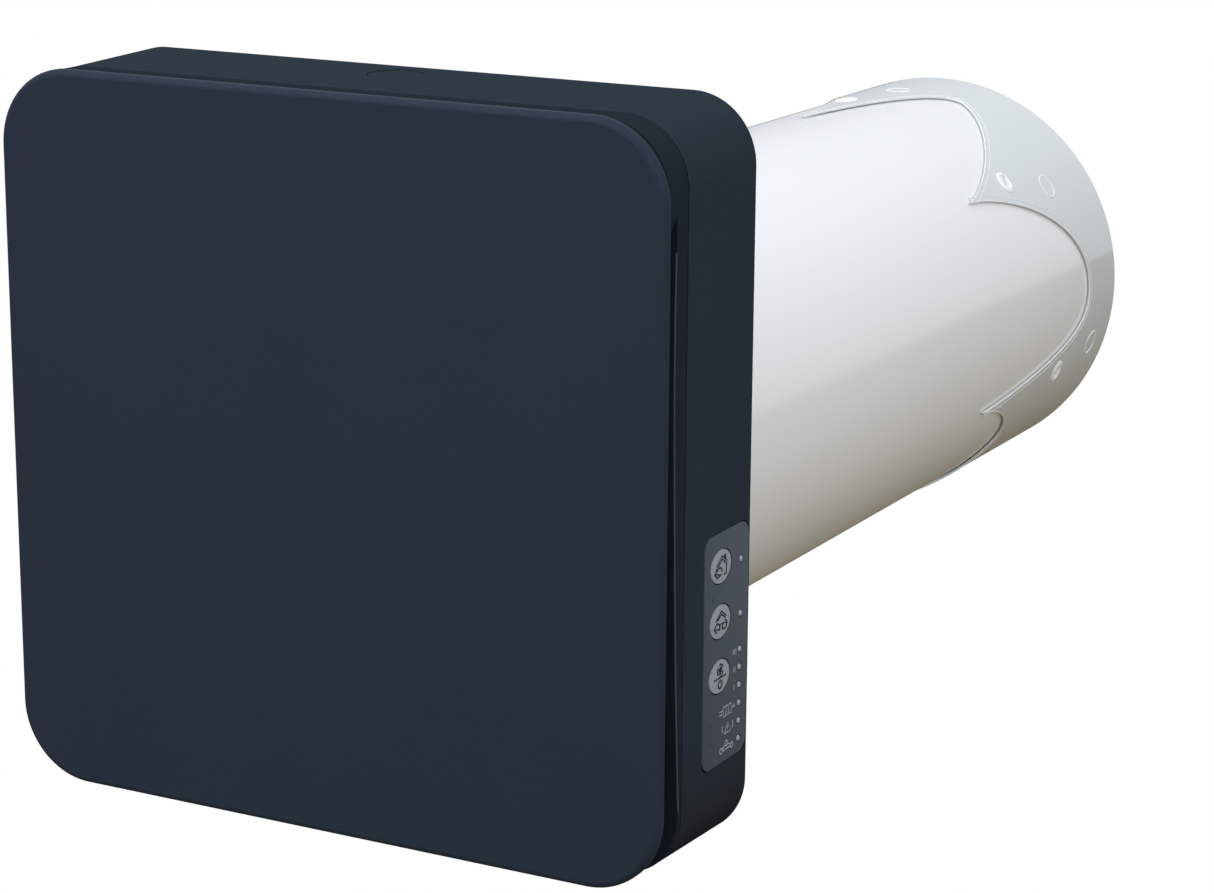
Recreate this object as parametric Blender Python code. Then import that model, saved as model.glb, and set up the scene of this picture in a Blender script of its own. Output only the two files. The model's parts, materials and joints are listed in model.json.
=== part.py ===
"""Single-room heat recovery unit: a wall-mounted indoor head on a round through-wall duct.

Metres, +Z up. The origin is on the duct's axis, in the plane of the wall. -Y points into the room,
+Y runs through the wall to the outside. The head's centre is HEAD_RISE above the duct's axis.
"""

import math

import bmesh
import bpy
from mathutils import Matrix, Vector

# --- driving dimensions -------------------------------------------------------------------------
GAP = 0.0003  # what touching pieces keep between them

DUCT_R = 0.0744
DUCT_BORE_R = 0.0714
DUCT_START = -0.0022
DUCT_END = 0.3936
DUCT_STEPS = 60
RING_STEPS = 40
SMALL_STEPS = 12

HEAD_RISE = 0.0163
PANEL_W, PANEL_H, PANEL_R = 0.218, 0.2165, 0.0232
PANEL_FRONT, PANEL_BACK = -0.0565, -0.0528
PANEL_EDGE = 0.0021  # rounding of the panel's front rim
PANEL_CHAMFER = (0.0009, 0.0016)  # the chamfer behind the panel's side: across, along
CASING_INSET = 0.0008  # the casing stands this far inside the panel's outline
CASING_W, CASING_H, CASING_R = PANEL_W - 2 * CASING_INSET, PANEL_H - 2 * CASING_INSET, 0.0195
CASING_FRONT, CASING_BACK = -0.0409, -0.0004
CASING_FLARE_X, CASING_FLARE_Z = 0.0003, 0.0012  # how much further out the shell's back rim stands
CASING_WALL = 0.0025
WEB_FRONT, WEB_BACK = -0.0120, -0.0095  # the casing's partition, which carries the fan
RIM_BACK = -0.0414  # the back of the front frame's visible rim
RIM_FRONTS = (  # height over the head's centre, and the rim's front there: the side slots widen downwards
    (0.0800, -0.0479), (0.0550, -0.0484), (0.0350, -0.0484), (0.0080, -0.0477), (-0.0240, -0.0466),
    (-0.0530, -0.0452), (-0.0760, -0.0438), (-0.0860, -0.0430), (-0.1300, -0.0428),
)
FRAME_WEB_FRONT, FRAME_WEB_BACK = -0.0380, -0.0360
ARCH_FOOT = HEAD_RISE + 0.080  # the side slots run from here down, round both lower corners
ARCH_SCOOP = ((0.1084, 0.0110), (0.1072, 0.0060), (0.1058, 0.0025), (0.1052, -0.0010))

PLATE_W, PLATE_H, PLATE_R, PLATE_FRONT = 0.184, 0.192, 0.012, -0.0025
MAGNET_X, MAGNET_R = 0.0835, 0.0050
CONNECTOR_X, CONNECTOR_Z = (0.046, 0.070), (0.086, 0.100)
PIN_XS, PIN_Z = (0.052, 0.058, 0.064), 0.093
GROMMET_X, GROMMET_Z, GROMMET_HOLE_R = -0.062, 0.094, 0.0066

COLLAR_INNER_R, COLLAR_OUTER_R = 0.0747, 0.0754
COLLAR_END = DUCT_END - GAP
COLLAR_STEPS = 72
# The collar's front edge: each tine's angle, from +X towards +Z, and how far along the duct its tip stands.
COLLAR_TINES = ((-21.0, 0.272), (39.0, 0.281), (94.0, 0.271), (154.0, 0.275), (219.0, 0.275), (279.0, 0.272))
COLLAR_HEADS = (  # the round head after each tine: angle and reach of its peak, bow and fullness before and after it
    (4.0, 0.3655, (3.00, 0.80), (2.00, 0.65)), (73.0, 0.3589, (1.35, 0.75), (2.00, 0.90)),
    (124.0, 0.3620, (2.20, 0.70), (2.20, 0.70)), (186.0, 0.3640, (2.20, 0.70), (2.20, 0.70)),
    (249.0, 0.3550, (2.20, 0.70), (2.20, 0.70)), (320.0, 0.3140, (2.20, 0.70), (2.00, 0.65)),
)
COLLAR_SCREWS = ((-20.0, 0.3446), (41.0, 0.3195), (97.0, 0.3225), (154.0, 0.333), (219.0, 0.333), (279.0, 0.333))
COLLAR_SCREW_R = 0.0047

CORE_R, CORE_Y = 0.0620, (0.150, 0.300)
WRAP_R, WRAP_Y = 0.0708, (0.148, 0.302)
FILTER_R, FILTER_FRAME_INNER_R = 0.0667, 0.0670
FILTER_DEPTH = 0.0222
CHANNEL_R, CHANNEL_PITCH = 0.0022, 0.0160

FAN_BORE_R, FAN_OUTER_R, FAN_FLANGE_R = 0.0676, 0.0706, 0.0800
FAN_FRONT, FAN_BACK = -0.0150, 0.0480
STRUT_Y = (-0.0125, -0.0090)
HUB_R, HUB_INNER_R, HUB_Y = 0.0210, 0.0175, (-0.0060, 0.0300)
BLADES, BLADE_TIP_R, BLADE_THICKNESS, BLADE_Y = 7, 0.0664, 0.0018, 0.0120
SHAFT_R = 0.0020
BEARING_R, BEARING_BORE_R = 0.0053, 0.0023
STATOR_R, STATOR_Y = 0.0150, (-0.0087, 0.0240)

FLAP_X, FLAP_Y, FLAP_HALF = 0.0900, -0.0400, 0.0600
FLAP_REACH, FLAP_THICKNESS, SPINDLE_R = 0.0116, 0.0014, 0.0016

OVERLAY_Y, OVERLAY_Z = (-0.0294, -0.0016), (HEAD_RISE - 0.0797, HEAD_RISE - 0.0113)
OVERLAY_X = (0.1077, 0.1086)
KEY_Y, KEY_R = -0.0192, 0.0056
KEY_OVAL = (1.14, 0.88)  # a key is wider than it is tall
KEY_ZS = tuple(HEAD_RISE - drop for drop in (0.0211, 0.0372, 0.0533))
LIGHT_Y, LIGHT_R = -0.0065, 0.0009
LIGHT_ZS = tuple(HEAD_RISE - drop for drop in (0.0219, 0.0380))
LIGHT_ZS += tuple(HEAD_RISE - 0.0486 - 0.00536 * k for k in range(6))
BUTTON_Y, BUTTON_R, STEM_R = -0.0140, 0.0078, 0.0022
TOP = HEAD_RISE + CASING_H / 2 + 0.0007  # the casing's flaring top, at the release button
PEG_X, PEG_Z = 0.070, 0.085
BOARD_FRONT, BOARD_BACK = -0.0320, -0.0304
BOARD_BOSS_XS = (-0.083, -0.020, 0.060)


# --- helpers ------------------------------------------------------------------------------------
def clear_scene():
    for obj in list(bpy.data.objects):
        bpy.data.objects.remove(obj)


def material(name, colour, roughness, metallic=0.0):
    made = bpy.data.materials.get(name) or bpy.data.materials.new(name)
    made.use_nodes = True
    shader = made.node_tree.nodes["Principled BSDF"]
    shader.inputs["Base Color"].default_value = (*colour, 1)
    shader.inputs["Roughness"].default_value = roughness
    shader.inputs["Metallic"].default_value = metallic
    return made


def place(axis, u, v, w):
    """A point from its two outline coordinates and its height along the axis."""
    return {"X": (w, u, v), "Y": (u, w, v), "Z": (u, v, w)}[axis]


def finished(name, bm, finish, origin=(0, 0, 0), smooth=False):
    """An object from a mesh drawn in world coordinates, with its own origin where it is asked for."""
    bmesh.ops.recalc_face_normals(bm, faces=bm.faces)
    bmesh.ops.translate(bm, verts=bm.verts, vec=-Vector(origin))
    mesh = bpy.data.meshes.new(name)
    bm.to_mesh(mesh)
    bm.free()
    if smooth:
        mesh.shade_smooth()
        mesh.set_sharp_from_angle(angle=math.radians(35))
    obj = bpy.data.objects.new(name, mesh)
    obj.location = origin
    bpy.context.scene.collection.objects.link(obj)
    if finish:
        mesh.materials.append(finish)
    return obj


def tool(name, bm):
    """A helper that a Boolean uses. It is never part of the object."""
    obj = finished(name, bm, None)
    obj.hide_render = True
    obj.display_type = "WIRE"
    return obj


def boolean(obj, bm, operation):
    modifier = obj.modifiers.new(operation.lower(), "BOOLEAN")
    modifier.operation = operation
    modifier.solver = "EXACT"
    helper = tool(f"tool_{obj.name}_{len(obj.modifiers)}", bm)
    modifier.object = helper


def cut(obj, *shapes):
    for bm in shapes:
        boolean(obj, bm, "DIFFERENCE")


def add(obj, *shapes):
    for bm in shapes:
        boolean(obj, bm, "UNION")


def merged(*shapes):
    """Several separate shapes in one mesh."""
    whole = bmesh.new()
    for bm in shapes:
        bmesh.ops.recalc_face_normals(bm, faces=bm.faces)
        part = bpy.data.meshes.new("part")
        bm.to_mesh(part)
        bm.free()
        whole.from_mesh(part)
        bpy.data.meshes.remove(part)
    return whole


def rounded(width, height, radius, centre=(0.0, HEAD_RISE), steps=6):
    """The outline of a rectangle with round corners, anticlockwise."""
    points = []
    for sx, sy, start in ((1, 1, 0), (-1, 1, 90), (-1, -1, 180), (1, -1, 270)):
        for k in range(steps + 1):
            angle = math.radians(start + 90 * k / steps)
            points.append((
                centre[0] + sx * (width / 2 - radius) + radius * math.cos(angle),
                centre[1] + sy * (height / 2 - radius) + radius * math.sin(angle),
            ))
    return points


def casing_outline(inset=0.0, steps=6):
    return rounded(CASING_W - 2 * inset, CASING_H - 2 * inset, CASING_R - inset, steps=steps)


def circle(radius, centre=(0.0, 0.0), steps=RING_STEPS):
    turn = 2 * math.pi / steps
    return [
        (centre[0] + radius * math.cos(turn * k), centre[1] + radius * math.sin(turn * k))
        for k in range(steps)
    ]


def prism(outline, low, high, axis="Y"):
    bm = bmesh.new()
    face = bm.faces.new([bm.verts.new(place(axis, u, v, low)) for u, v in outline])
    made = bmesh.ops.extrude_face_region(bm, geom=[face])
    lifted = [g for g in made["geom"] if isinstance(g, bmesh.types.BMVert)]
    bmesh.ops.translate(bm, verts=lifted, vec=Vector(place(axis, 0, 0, high - low)))
    return bm


def stacked(sections):
    """A closed shape from outlines of as many points each, at their depths along Y."""
    bm = bmesh.new()
    rings = [[bm.verts.new((x, y, z)) for x, z in outline] for outline, y in sections]
    for ring, following in zip(rings, rings[1:]):
        for k in range(len(ring)):
            after = (k + 1) % len(ring)
            bm.faces.new((ring[k], ring[after], following[after], following[k]))
    bm.faces.new(rings[0])
    bm.faces.new(rings[-1])
    return bm


def box(x, y, z):
    bm = bmesh.new()
    bmesh.ops.create_cube(bm, size=1)
    bmesh.ops.scale(bm, verts=bm.verts, vec=(x[1] - x[0], y[1] - y[0], z[1] - z[0]))
    bmesh.ops.translate(bm, verts=bm.verts, vec=(sum(x) / 2, sum(y) / 2, sum(z) / 2))
    return bm


def turned(profile, axis="Y", centre=(0.0, 0.0), steps=RING_STEPS, solid=False):
    """A profile of (radius, height) spun round the axis. A solid one starts and ends on the axis."""
    bm = bmesh.new()
    verts = [bm.verts.new(place(axis, centre[0] + r, centre[1], h)) for r, h in profile]
    pairs = list(zip(verts, verts[1:]))
    if not solid:
        pairs.append((verts[-1], verts[0]))
    edges = [bm.edges.new(pair) for pair in pairs]
    bmesh.ops.spin(
        bm, geom=verts + edges, cent=place(axis, *centre, 0), axis=place(axis, 0, 0, 1),
        angle=2 * math.pi, steps=steps, use_merge=True,
    )
    bmesh.ops.remove_doubles(bm, verts=bm.verts, dist=1e-6)
    return bm


def rod(radius, low, high, axis="Y", centre=(0.0, 0.0), steps=SMALL_STEPS):
    return turned([(0, low), (radius, low), (radius, high), (0, high)], axis, centre, steps, solid=True)


def sleeve(inner, outer, low, high, axis="Y", centre=(0.0, 0.0), steps=RING_STEPS):
    return turned([(inner, low), (outer, low), (outer, high), (inner, high)], axis, centre, steps)


def oval(bm, z):
    """A key's shape, drawn round and made as wide and as tall as the keys are."""
    centre = Matrix.Translation((0, KEY_Y, z))
    bmesh.ops.scale(bm, verts=bm.verts, vec=(1, *KEY_OVAL), space=centre.inverted())
    return bm


def turn_about_duct(bm, degrees):
    turn = Matrix.Rotation(-math.radians(degrees), 3, "Y")
    bmesh.ops.rotate(bm, verts=bm.verts, cent=(0, 0, 0), matrix=turn)
    return bm


def empty(name, location, parent=None):
    obj = bpy.data.objects.new(name, None)
    obj.location = location
    obj.parent = parent
    bpy.context.scene.collection.objects.link(obj)
    return obj


def attach(body, *pieces):
    for piece in pieces:
        piece.parent = body
        piece.location = piece.location - body.location


# --- the wall side ------------------------------------------------------------------------------
def duct_tube(white):
    bm = sleeve(DUCT_BORE_R, DUCT_R, DUCT_START, DUCT_END, steps=DUCT_STEPS)
    return finished("duct_tube", bm, white, smooth=True)


def collar_edge(degrees):
    """How far along the duct the collar's edge stands at this angle."""
    first, lowest = COLLAR_TINES[0]
    turned = (degrees - first) % 360 + first
    following = COLLAR_TINES[1:] + ((first + 360, lowest),)
    for before, after, (peak, reach, rising, falling) in zip(COLLAR_TINES, following, COLLAR_HEADS):
        if turned < after[0]:
            break
    (foot, tip), (bow, fullness) = (before, rising) if turned < peak else (after, falling)
    across = (peak - turned) / (peak - foot)
    return tip + (reach - tip) * (1 - min(1, across) ** bow) ** fullness


def radial_rod(radius, low, high, y, degrees, steps=SMALL_STEPS):
    """A rod standing on the duct, along the radius at this angle."""
    bm = rod(radius, low, high, "X", (y, 0.0), steps)
    return turn_about_duct(bm, degrees)


def end_collar(clear):
    """The crown-shaped collar on the outdoor end: six tines between six round-headed cut-outs."""
    bm = bmesh.new()
    rows = []
    for k in range(COLLAR_STEPS):
        degrees = COLLAR_TINES[0][0] + 360 / COLLAR_STEPS * k
        angle = math.radians(degrees)
        edge = collar_edge(degrees)
        inner, outer = COLLAR_INNER_R, COLLAR_OUTER_R
        section = ((inner, edge), (outer, edge), (outer, COLLAR_END), (inner, COLLAR_END))
        rows.append([bm.verts.new((r * math.cos(angle), y, r * math.sin(angle))) for r, y in section])
    for row, following in zip(rows, rows[1:] + rows[:1]):
        for k in range(4):
            bm.faces.new((row[k], row[(k + 1) % 4], following[(k + 1) % 4], following[k]))
    obj = finished("end_collar", bm, clear, smooth=True)
    holes = [
        radial_rod(COLLAR_SCREW_R + GAP, DUCT_R, COLLAR_OUTER_R + 0.002, y, degrees)
        for degrees, y in COLLAR_SCREWS
    ]
    cut(obj, merged(*holes))
    return obj


def collar_screws(steel):
    made = []
    for number, (degrees, y) in enumerate(COLLAR_SCREWS, 1):
        bm = radial_rod(COLLAR_SCREW_R, COLLAR_INNER_R, COLLAR_OUTER_R + GAP, y, degrees)
        made.append(finished(f"collar_screw_{number}", bm, steel, smooth=True))
    return made


def wall_plate(black):
    """Screwed to the wall. The duct's indoor end shows through it, and the head clips over it."""
    outline = rounded(PLATE_W, PLATE_H, PLATE_R, steps=4)
    obj = finished("wall_plate", prism(outline, PLATE_FRONT, 0), black)
    rim = rounded(PLATE_W, PLATE_H, PLATE_R, steps=4)
    add(obj, prism(rim, PLATE_FRONT - 0.002, PLATE_FRONT + 0.001))
    inner = rounded(PLATE_W - 0.005, PLATE_H - 0.005, PLATE_R - 0.0025, steps=4)
    cut(obj, prism(inner, PLATE_FRONT - 0.004, PLATE_FRONT))
    cut(obj, rod(DUCT_R + 0.0004, -0.02, 0.02, steps=RING_STEPS))
    slots = [
        prism(rounded(0.0100, 0.0044, 0.0021, (sx * 0.078, HEAD_RISE + sz * 0.080), 3), -0.01, 0.01)
        for sx in (-1, 1) for sz in (-1, 1)
    ]
    slots.append(rod(GROMMET_HOLE_R, -0.01, 0.01, centre=(GROMMET_X, GROMMET_Z)))
    cut(obj, merged(*slots))
    arm = box((-0.008, 0.008), (-0.0110, -0.0010), (0.1062, 0.1085))
    lip = box((-0.008, 0.008), (-0.0110, -0.0086), (0.1048, 0.1070))
    add(obj, arm, lip)
    return obj


def cable_grommet(rubber):
    profile = [
        (0.0035, -0.0050), (0.0085, -0.0050), (0.0085, PLATE_FRONT - GAP),
        (GROMMET_HOLE_R - GAP, PLATE_FRONT - GAP), (GROMMET_HOLE_R - GAP, -GAP), (0.0035, -GAP),
    ]
    bm = turned(profile, centre=(GROMMET_X, GROMMET_Z), steps=16)
    return finished("cable_grommet", bm, rubber, smooth=True)


def plate_connector(black):
    obj = finished("plate_connector", box(CONNECTOR_X, (-0.0180, PLATE_FRONT - GAP), CONNECTOR_Z), black)
    cut(obj, merged(*[rod(0.0017, -0.03, -0.0105, centre=(x, PIN_Z), steps=10) for x in PIN_XS]))
    return obj


def magnets(prefix, low, high, steel):
    made = []
    for side, sign in (("left", -1), ("right", 1)):
        bm = rod(MAGNET_R, low, high, centre=(sign * MAGNET_X, 0.0), steps=16)
        made.append(finished(f"{prefix}_{side}", bm, steel, smooth=True))
    return made


# --- the cartridge in the duct ------------------------------------------------------------------
def heat_core(ceramic):
    """The regenerator: a ceramic cylinder with open channels along the airflow."""
    obj = finished("heat_core", rod(CORE_R, *CORE_Y, steps=RING_STEPS), ceramic, smooth=True)
    channels = []
    for row in range(-4, 5):
        for column in range(-4, 5):
            x = CHANNEL_PITCH * (column + 0.5 * (row % 2))
            z = CHANNEL_PITCH * row * math.sqrt(3) / 2
            if math.hypot(x, z) < CORE_R - 2 * CHANNEL_R:
                channels.append(rod(CHANNEL_R, CORE_Y[0] - 0.01, CORE_Y[1] + 0.01, centre=(x, z), steps=6))
    cut(obj, merged(*channels))
    return obj


def filter_frame(name, open_end, inward, black):
    """A ring round the filter pad with a cross on its open face. inward is +1 if the pad is behind it."""
    far = open_end + inward * FILTER_DEPTH
    low, high = sorted((open_end, far))
    obj = finished(name, sleeve(FILTER_FRAME_INNER_R, WRAP_R, low, high), black, smooth=True)
    bar = sorted((open_end, open_end + inward * 0.003))
    half = FILTER_FRAME_INNER_R + 0.0015
    add(obj, box((-half, half), bar, (-0.003, 0.003)), box((-0.003, 0.003), bar, (-half, half)))
    add(obj, rod(0.013, *bar, steps=16))
    return obj


def filter_pad(name, low, high, foam):
    return finished(name, rod(FILTER_R, low, high, steps=RING_STEPS), foam, smooth=True)


def pull_strap(webbing):
    """The bowed strap that draws the cartridge out into the room."""
    thickness, steps = 0.0012, 12
    foot = WRAP_Y[0] - GAP - FILTER_DEPTH - GAP
    outline = []
    for reach, depth, order in ((0.030, 0.016, 1), (0.030 - thickness, 0.016 - thickness, -1)):
        arc = [
            (reach * math.cos(math.pi * k / steps), foot - depth * math.sin(math.pi * k / steps))
            for k in range(steps + 1)
        ]
        outline += arc[::order]
    return finished("pull_strap", prism(outline, -0.006, 0.006, "Z"), webbing, smooth=True)


def cartridge(ceramic, foam, filter_foam, black, webbing):
    inner_open = WRAP_Y[0] - GAP - FILTER_DEPTH
    outer_open = WRAP_Y[1] + GAP + FILTER_DEPTH
    return [
        heat_core(ceramic),
        finished("core_wrap", sleeve(CORE_R + GAP, WRAP_R, *WRAP_Y), foam, smooth=True),
        filter_frame("inner_filter_frame", inner_open, 1, black),
        filter_frame("outer_filter_frame", outer_open, -1, black),
        filter_pad("inner_filter", inner_open + 0.0033, WRAP_Y[0] - GAP, filter_foam),
        filter_pad("outer_filter", WRAP_Y[1] + GAP, outer_open - 0.0033, filter_foam),
        pull_strap(webbing),
    ]


# --- the head's shells --------------------------------------------------------------------------
def casing(anthracite):
    """The head's main shell: a band with a partition that carries the fan."""
    wide, high = CASING_W + 2 * CASING_FLARE_X, CASING_H + 2 * CASING_FLARE_Z
    back_outline = rounded(wide, high, CASING_R + CASING_FLARE_Z)
    shell = stacked([(casing_outline(), CASING_FRONT), (back_outline, CASING_BACK)])
    obj = finished("casing", shell, anthracite, smooth=True)
    inner = casing_outline(CASING_WALL)
    cut(obj, prism(inner, CASING_FRONT - 0.01, WEB_FRONT), prism(inner, WEB_BACK, 0.01))
    cut(obj, rod(FAN_OUTER_R + 0.0012, WEB_FRONT - 0.01, 0.01, steps=RING_STEPS))
    cut(obj, merged(
        box((0.0925, 0.1052), (WEB_FRONT - 0.002, WEB_BACK + 0.002), (-0.066, 0.008)),
        box((0.043, 0.073), (WEB_FRONT - 0.002, WEB_BACK + 0.002), (0.083, 0.103)),
        box((-0.013, 0.013), (WEB_FRONT - 0.002, WEB_BACK + 0.002), (0.0955, 0.1195)),
    ))
    recess = [(OVERLAY_Y[0] - GAP, OVERLAY_Y[1] + GAP), (OVERLAY_Z[0] - GAP, OVERLAY_Z[1] + GAP)]
    cut(obj, box((OVERLAY_X[0] - GAP, 0.12), *recess))
    openings = [oval(rod(KEY_R + GAP, 0.100, 0.115, "X", (KEY_Y, z), 20), z) for z in KEY_ZS]
    light_slot = (LIGHT_ZS[-1] - 0.0015, LIGHT_ZS[0] + 0.0015)
    openings.append(box((0.100, 0.115), (LIGHT_Y - 0.0013, LIGHT_Y + 0.0013), light_slot))
    openings.append(rod(BUTTON_R + GAP, TOP - 0.008, TOP + 0.01, "Z", (0.0, BUTTON_Y), 24))
    cut(obj, merged(*openings))
    return obj


def front_frame(anthracite):
    """The bezel behind the panel: a rim, a lip inside the casing, an inner web and an arch over the top."""
    rim = prism(casing_outline(), PANEL_BACK + GAP, RIM_BACK)
    obj = finished("front_frame", rim, anthracite, smooth=True)
    add(obj, prism(casing_outline(CASING_WALL + GAP), RIM_BACK - 0.001, FRAME_WEB_BACK))
    cut(obj, prism(casing_outline(0.0055), -0.07, FRAME_WEB_FRONT))
    cut(obj, rod(0.066, -0.05, -0.03, steps=RING_STEPS))
    slope = [(y, HEAD_RISE + z) for z, y in RIM_FRONTS]
    cut(obj, prism([(-0.07, slope[0][1])] + slope + [(-0.07, slope[-1][1])], -0.12, 0.12, "X"))
    for side in (-1, 1):
        scoop = [(side * x, ARCH_FOOT + z) for x, z in ARCH_SCOOP]
        edge = [(side * 0.12, ARCH_FOOT - 0.0010), (side * 0.12, ARCH_FOOT + 0.0110)]
        cut(obj, prism(scoop + edge, -0.07, RIM_FRONTS[0][1]))
    cut(obj, merged(*[
        box((x - 0.0075, x + 0.0075), (-0.045, -0.030), (HEAD_RISE - 0.0900, HEAD_RISE - 0.0650))
        for x in (-FLAP_X, FLAP_X)
    ]))
    add(obj, merged(*[
        rod(0.0028, FRAME_WEB_BACK - 0.001, BOARD_FRONT - GAP, centre=(x, 0.1075), steps=8)
        for x in BOARD_BOSS_XS
    ]))
    return obj


def front_panel(anthracite):
    """The flat cover, with four pegs behind that push into the frame's sockets."""
    across, along = PANEL_CHAMFER
    behind = rounded(PANEL_W - 2 * across, PANEL_H - 2 * across, PANEL_R - across, steps=8)
    outline = rounded(PANEL_W, PANEL_H, PANEL_R, steps=8)
    bm = stacked([(outline, PANEL_FRONT), (outline, PANEL_BACK - along), (behind, PANEL_BACK)])
    rim = [e for e in bm.edges if all(abs(v.co.y - PANEL_FRONT) < 1e-6 for v in e.verts)]
    bmesh.ops.bevel(bm, geom=rim, offset=PANEL_EDGE, segments=3, profile=0.5, affect="EDGES")
    obj = finished("front_panel", bm, anthracite, smooth=True)
    add(obj, merged(*[
        rod(0.0026, PANEL_BACK - 0.001, -0.0400, centre=(sx * PEG_X, HEAD_RISE + sz * PEG_Z), steps=10)
        for sx in (-1, 1) for sz in (-1, 1)
    ]))
    return obj


def clip_sockets(black):
    made = []
    for number, (sx, sz) in enumerate(((-1, 1), (1, 1), (-1, -1), (1, -1)), 1):
        middle = (sx * PEG_X, HEAD_RISE + sz * PEG_Z)
        bm = sleeve(0.0031, 0.0055, -0.0440, FRAME_WEB_FRONT - GAP, centre=middle, steps=12)
        made.append(finished(f"clip_socket_{number}", bm, black, smooth=True))
    return made


# --- the head's controls ------------------------------------------------------------------------
def control_overlay(grey):
    """The label plate let into the casing's side, with holes for the keys and the lights."""
    middle = (sum(OVERLAY_Y) / 2, sum(OVERLAY_Z) / 2)
    outline = rounded(OVERLAY_Y[1] - OVERLAY_Y[0], OVERLAY_Z[1] - OVERLAY_Z[0], 0.0042, middle, 5)
    obj = finished("control_overlay", prism(outline, *OVERLAY_X, "X"), grey)
    holes = [oval(rod(KEY_R + GAP, 0.10, 0.12, "X", (KEY_Y, z), 20), z) for z in KEY_ZS]
    holes += [rod(LIGHT_R + GAP, 0.10, 0.12, "X", (LIGHT_Y, z), 8) for z in LIGHT_ZS]
    cut(obj, merged(*holes))
    return obj


def key(name, z, light_grey):
    """An oval push key with a flange that keeps it behind the casing's wall."""
    profile = [
        (0, 0.1032), (0.0068, 0.1032), (0.0068, 0.1046), (KEY_R, 0.1046), (KEY_R, 0.1088), (0, 0.1088),
    ]
    bm = oval(turned(profile, "X", (KEY_Y, z), 20, solid=True), z)
    return finished(name, bm, light_grey, origin=(0.1088, KEY_Y, z), smooth=True)


def led_light_bar(white):
    low, high = LIGHT_ZS[-1] - 0.002, LIGHT_ZS[0] + 0.002
    bm = box((0.1030, 0.1054), (LIGHT_Y - 0.0018, LIGHT_Y + 0.0018), (low, high))
    obj = finished("led_light_bar", bm, white)
    add(obj, merged(*[rod(LIGHT_R, 0.1045, 0.1088, "X", (LIGHT_Y, z), 8) for z in LIGHT_ZS]))
    return obj


def control_board(green):
    obj = finished("control_board", box((0.0990, 0.1006), (-0.0340, -0.0030), (-0.064, 0.006)), green)
    add(obj, merged(*[
        box((0.1000, 0.1024), (KEY_Y - 0.003, KEY_Y + 0.003), (z - 0.003, z + 0.003)) for z in KEY_ZS
    ]))
    return obj


def release_button(anthracite):
    """Flush with the casing's top. Its stem carries the latch that holds the head to the wall plate."""
    under, flush = TOP - 0.0035, TOP - 0.0001
    profile = [
        (0, 0.1005), (STEM_R, 0.1005), (STEM_R, under), (BUTTON_R, under), (BUTTON_R, flush), (0, flush),
    ]
    bm = turned(profile, "Z", (0.0, BUTTON_Y), 24, solid=True)
    obj = finished("release_button", bm, anthracite, origin=(0.0, BUTTON_Y, TOP), smooth=True)
    bar = box((-0.006, 0.006), (-0.0170, -0.0052), (0.0985, 0.1020))
    tooth = box((-0.006, 0.006), (-0.0082, -0.0052), (0.1010, 0.1045))
    for shape in (bar, tooth):
        add(obj, shape)
    return obj


def latch_guide(black):
    obj = finished("latch_guide", box((-0.018, 0.018), (-0.0210, WEB_FRONT - GAP), (0.1060, 0.1085)), black)
    cut(obj, rod(STEM_R + 0.0006, 0.09, 0.12, "Z", (0.0, BUTTON_Y), 12))
    return obj


def release_spring(steel):
    """A helix round the stem, between the guide and the button."""
    turns, per_turn, low, high, radius = 3, 10, 0.1094, TOP - 0.0043, 0.0045
    curve = bpy.data.curves.new("release_spring", "CURVE")
    curve.dimensions = "3D"
    curve.bevel_depth, curve.bevel_resolution, curve.use_fill_caps = 0.0005, 0, True
    count = int(turns * per_turn) + 1
    spline = curve.splines.new("POLY")
    spline.points.add(count - 1)
    for k, point in enumerate(spline.points):
        angle = 2 * math.pi * k / per_turn
        height = low + (high - low) * k / (count - 1)
        point.co = (radius * math.cos(angle), radius * math.sin(angle), height - low, 1)
    curve.materials.append(steel)
    obj = bpy.data.objects.new("release_spring", curve)
    obj.location = (0, BUTTON_Y, low)
    bpy.context.scene.collection.objects.link(obj)
    return obj


# --- the head's electronics ---------------------------------------------------------------------
def main_board(green):
    return finished("main_board", box((-0.088, 0.074), (BOARD_FRONT, BOARD_BACK), (0.084, 0.112)), green)


def board_parts(black, steel):
    transformer = finished("transformer", box((-0.080, -0.056), (-0.0301, -0.0165), (0.088, 0.106)), black)
    can = rod(0.0050, -0.0301, -0.0180, centre=(-0.040, 0.097))
    capacitor = finished("capacitor", can, steel, smooth=True)
    connector = finished("head_connector", box(CONNECTOR_X, (-0.0301, -0.0185), CONNECTOR_Z), black)
    add(connector, merged(*[rod(0.0011, -0.0200, -0.0120, centre=(x, PIN_Z), steps=8) for x in PIN_XS]))
    return [transformer, capacitor, connector]


def smooth_route(points, between):
    """Points along a Catmull-Rom curve through the route's own points."""
    ends = [Vector(points[0])] + [Vector(p) for p in points] + [Vector(points[-1])]
    made = []
    for a, b, c, d in zip(ends, ends[1:], ends[2:], ends[3:]):
        for k in range(between):
            t = k / between
            square = (2 * a - 5 * b + 4 * c - d) * t ** 2
            cube = (3 * b - a - 3 * c + d) * t ** 3
            made.append(0.5 * (2 * b + (c - a) * t + square + cube))
    made.append(ends[-1])
    return [tuple(p) for p in made]


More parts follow.
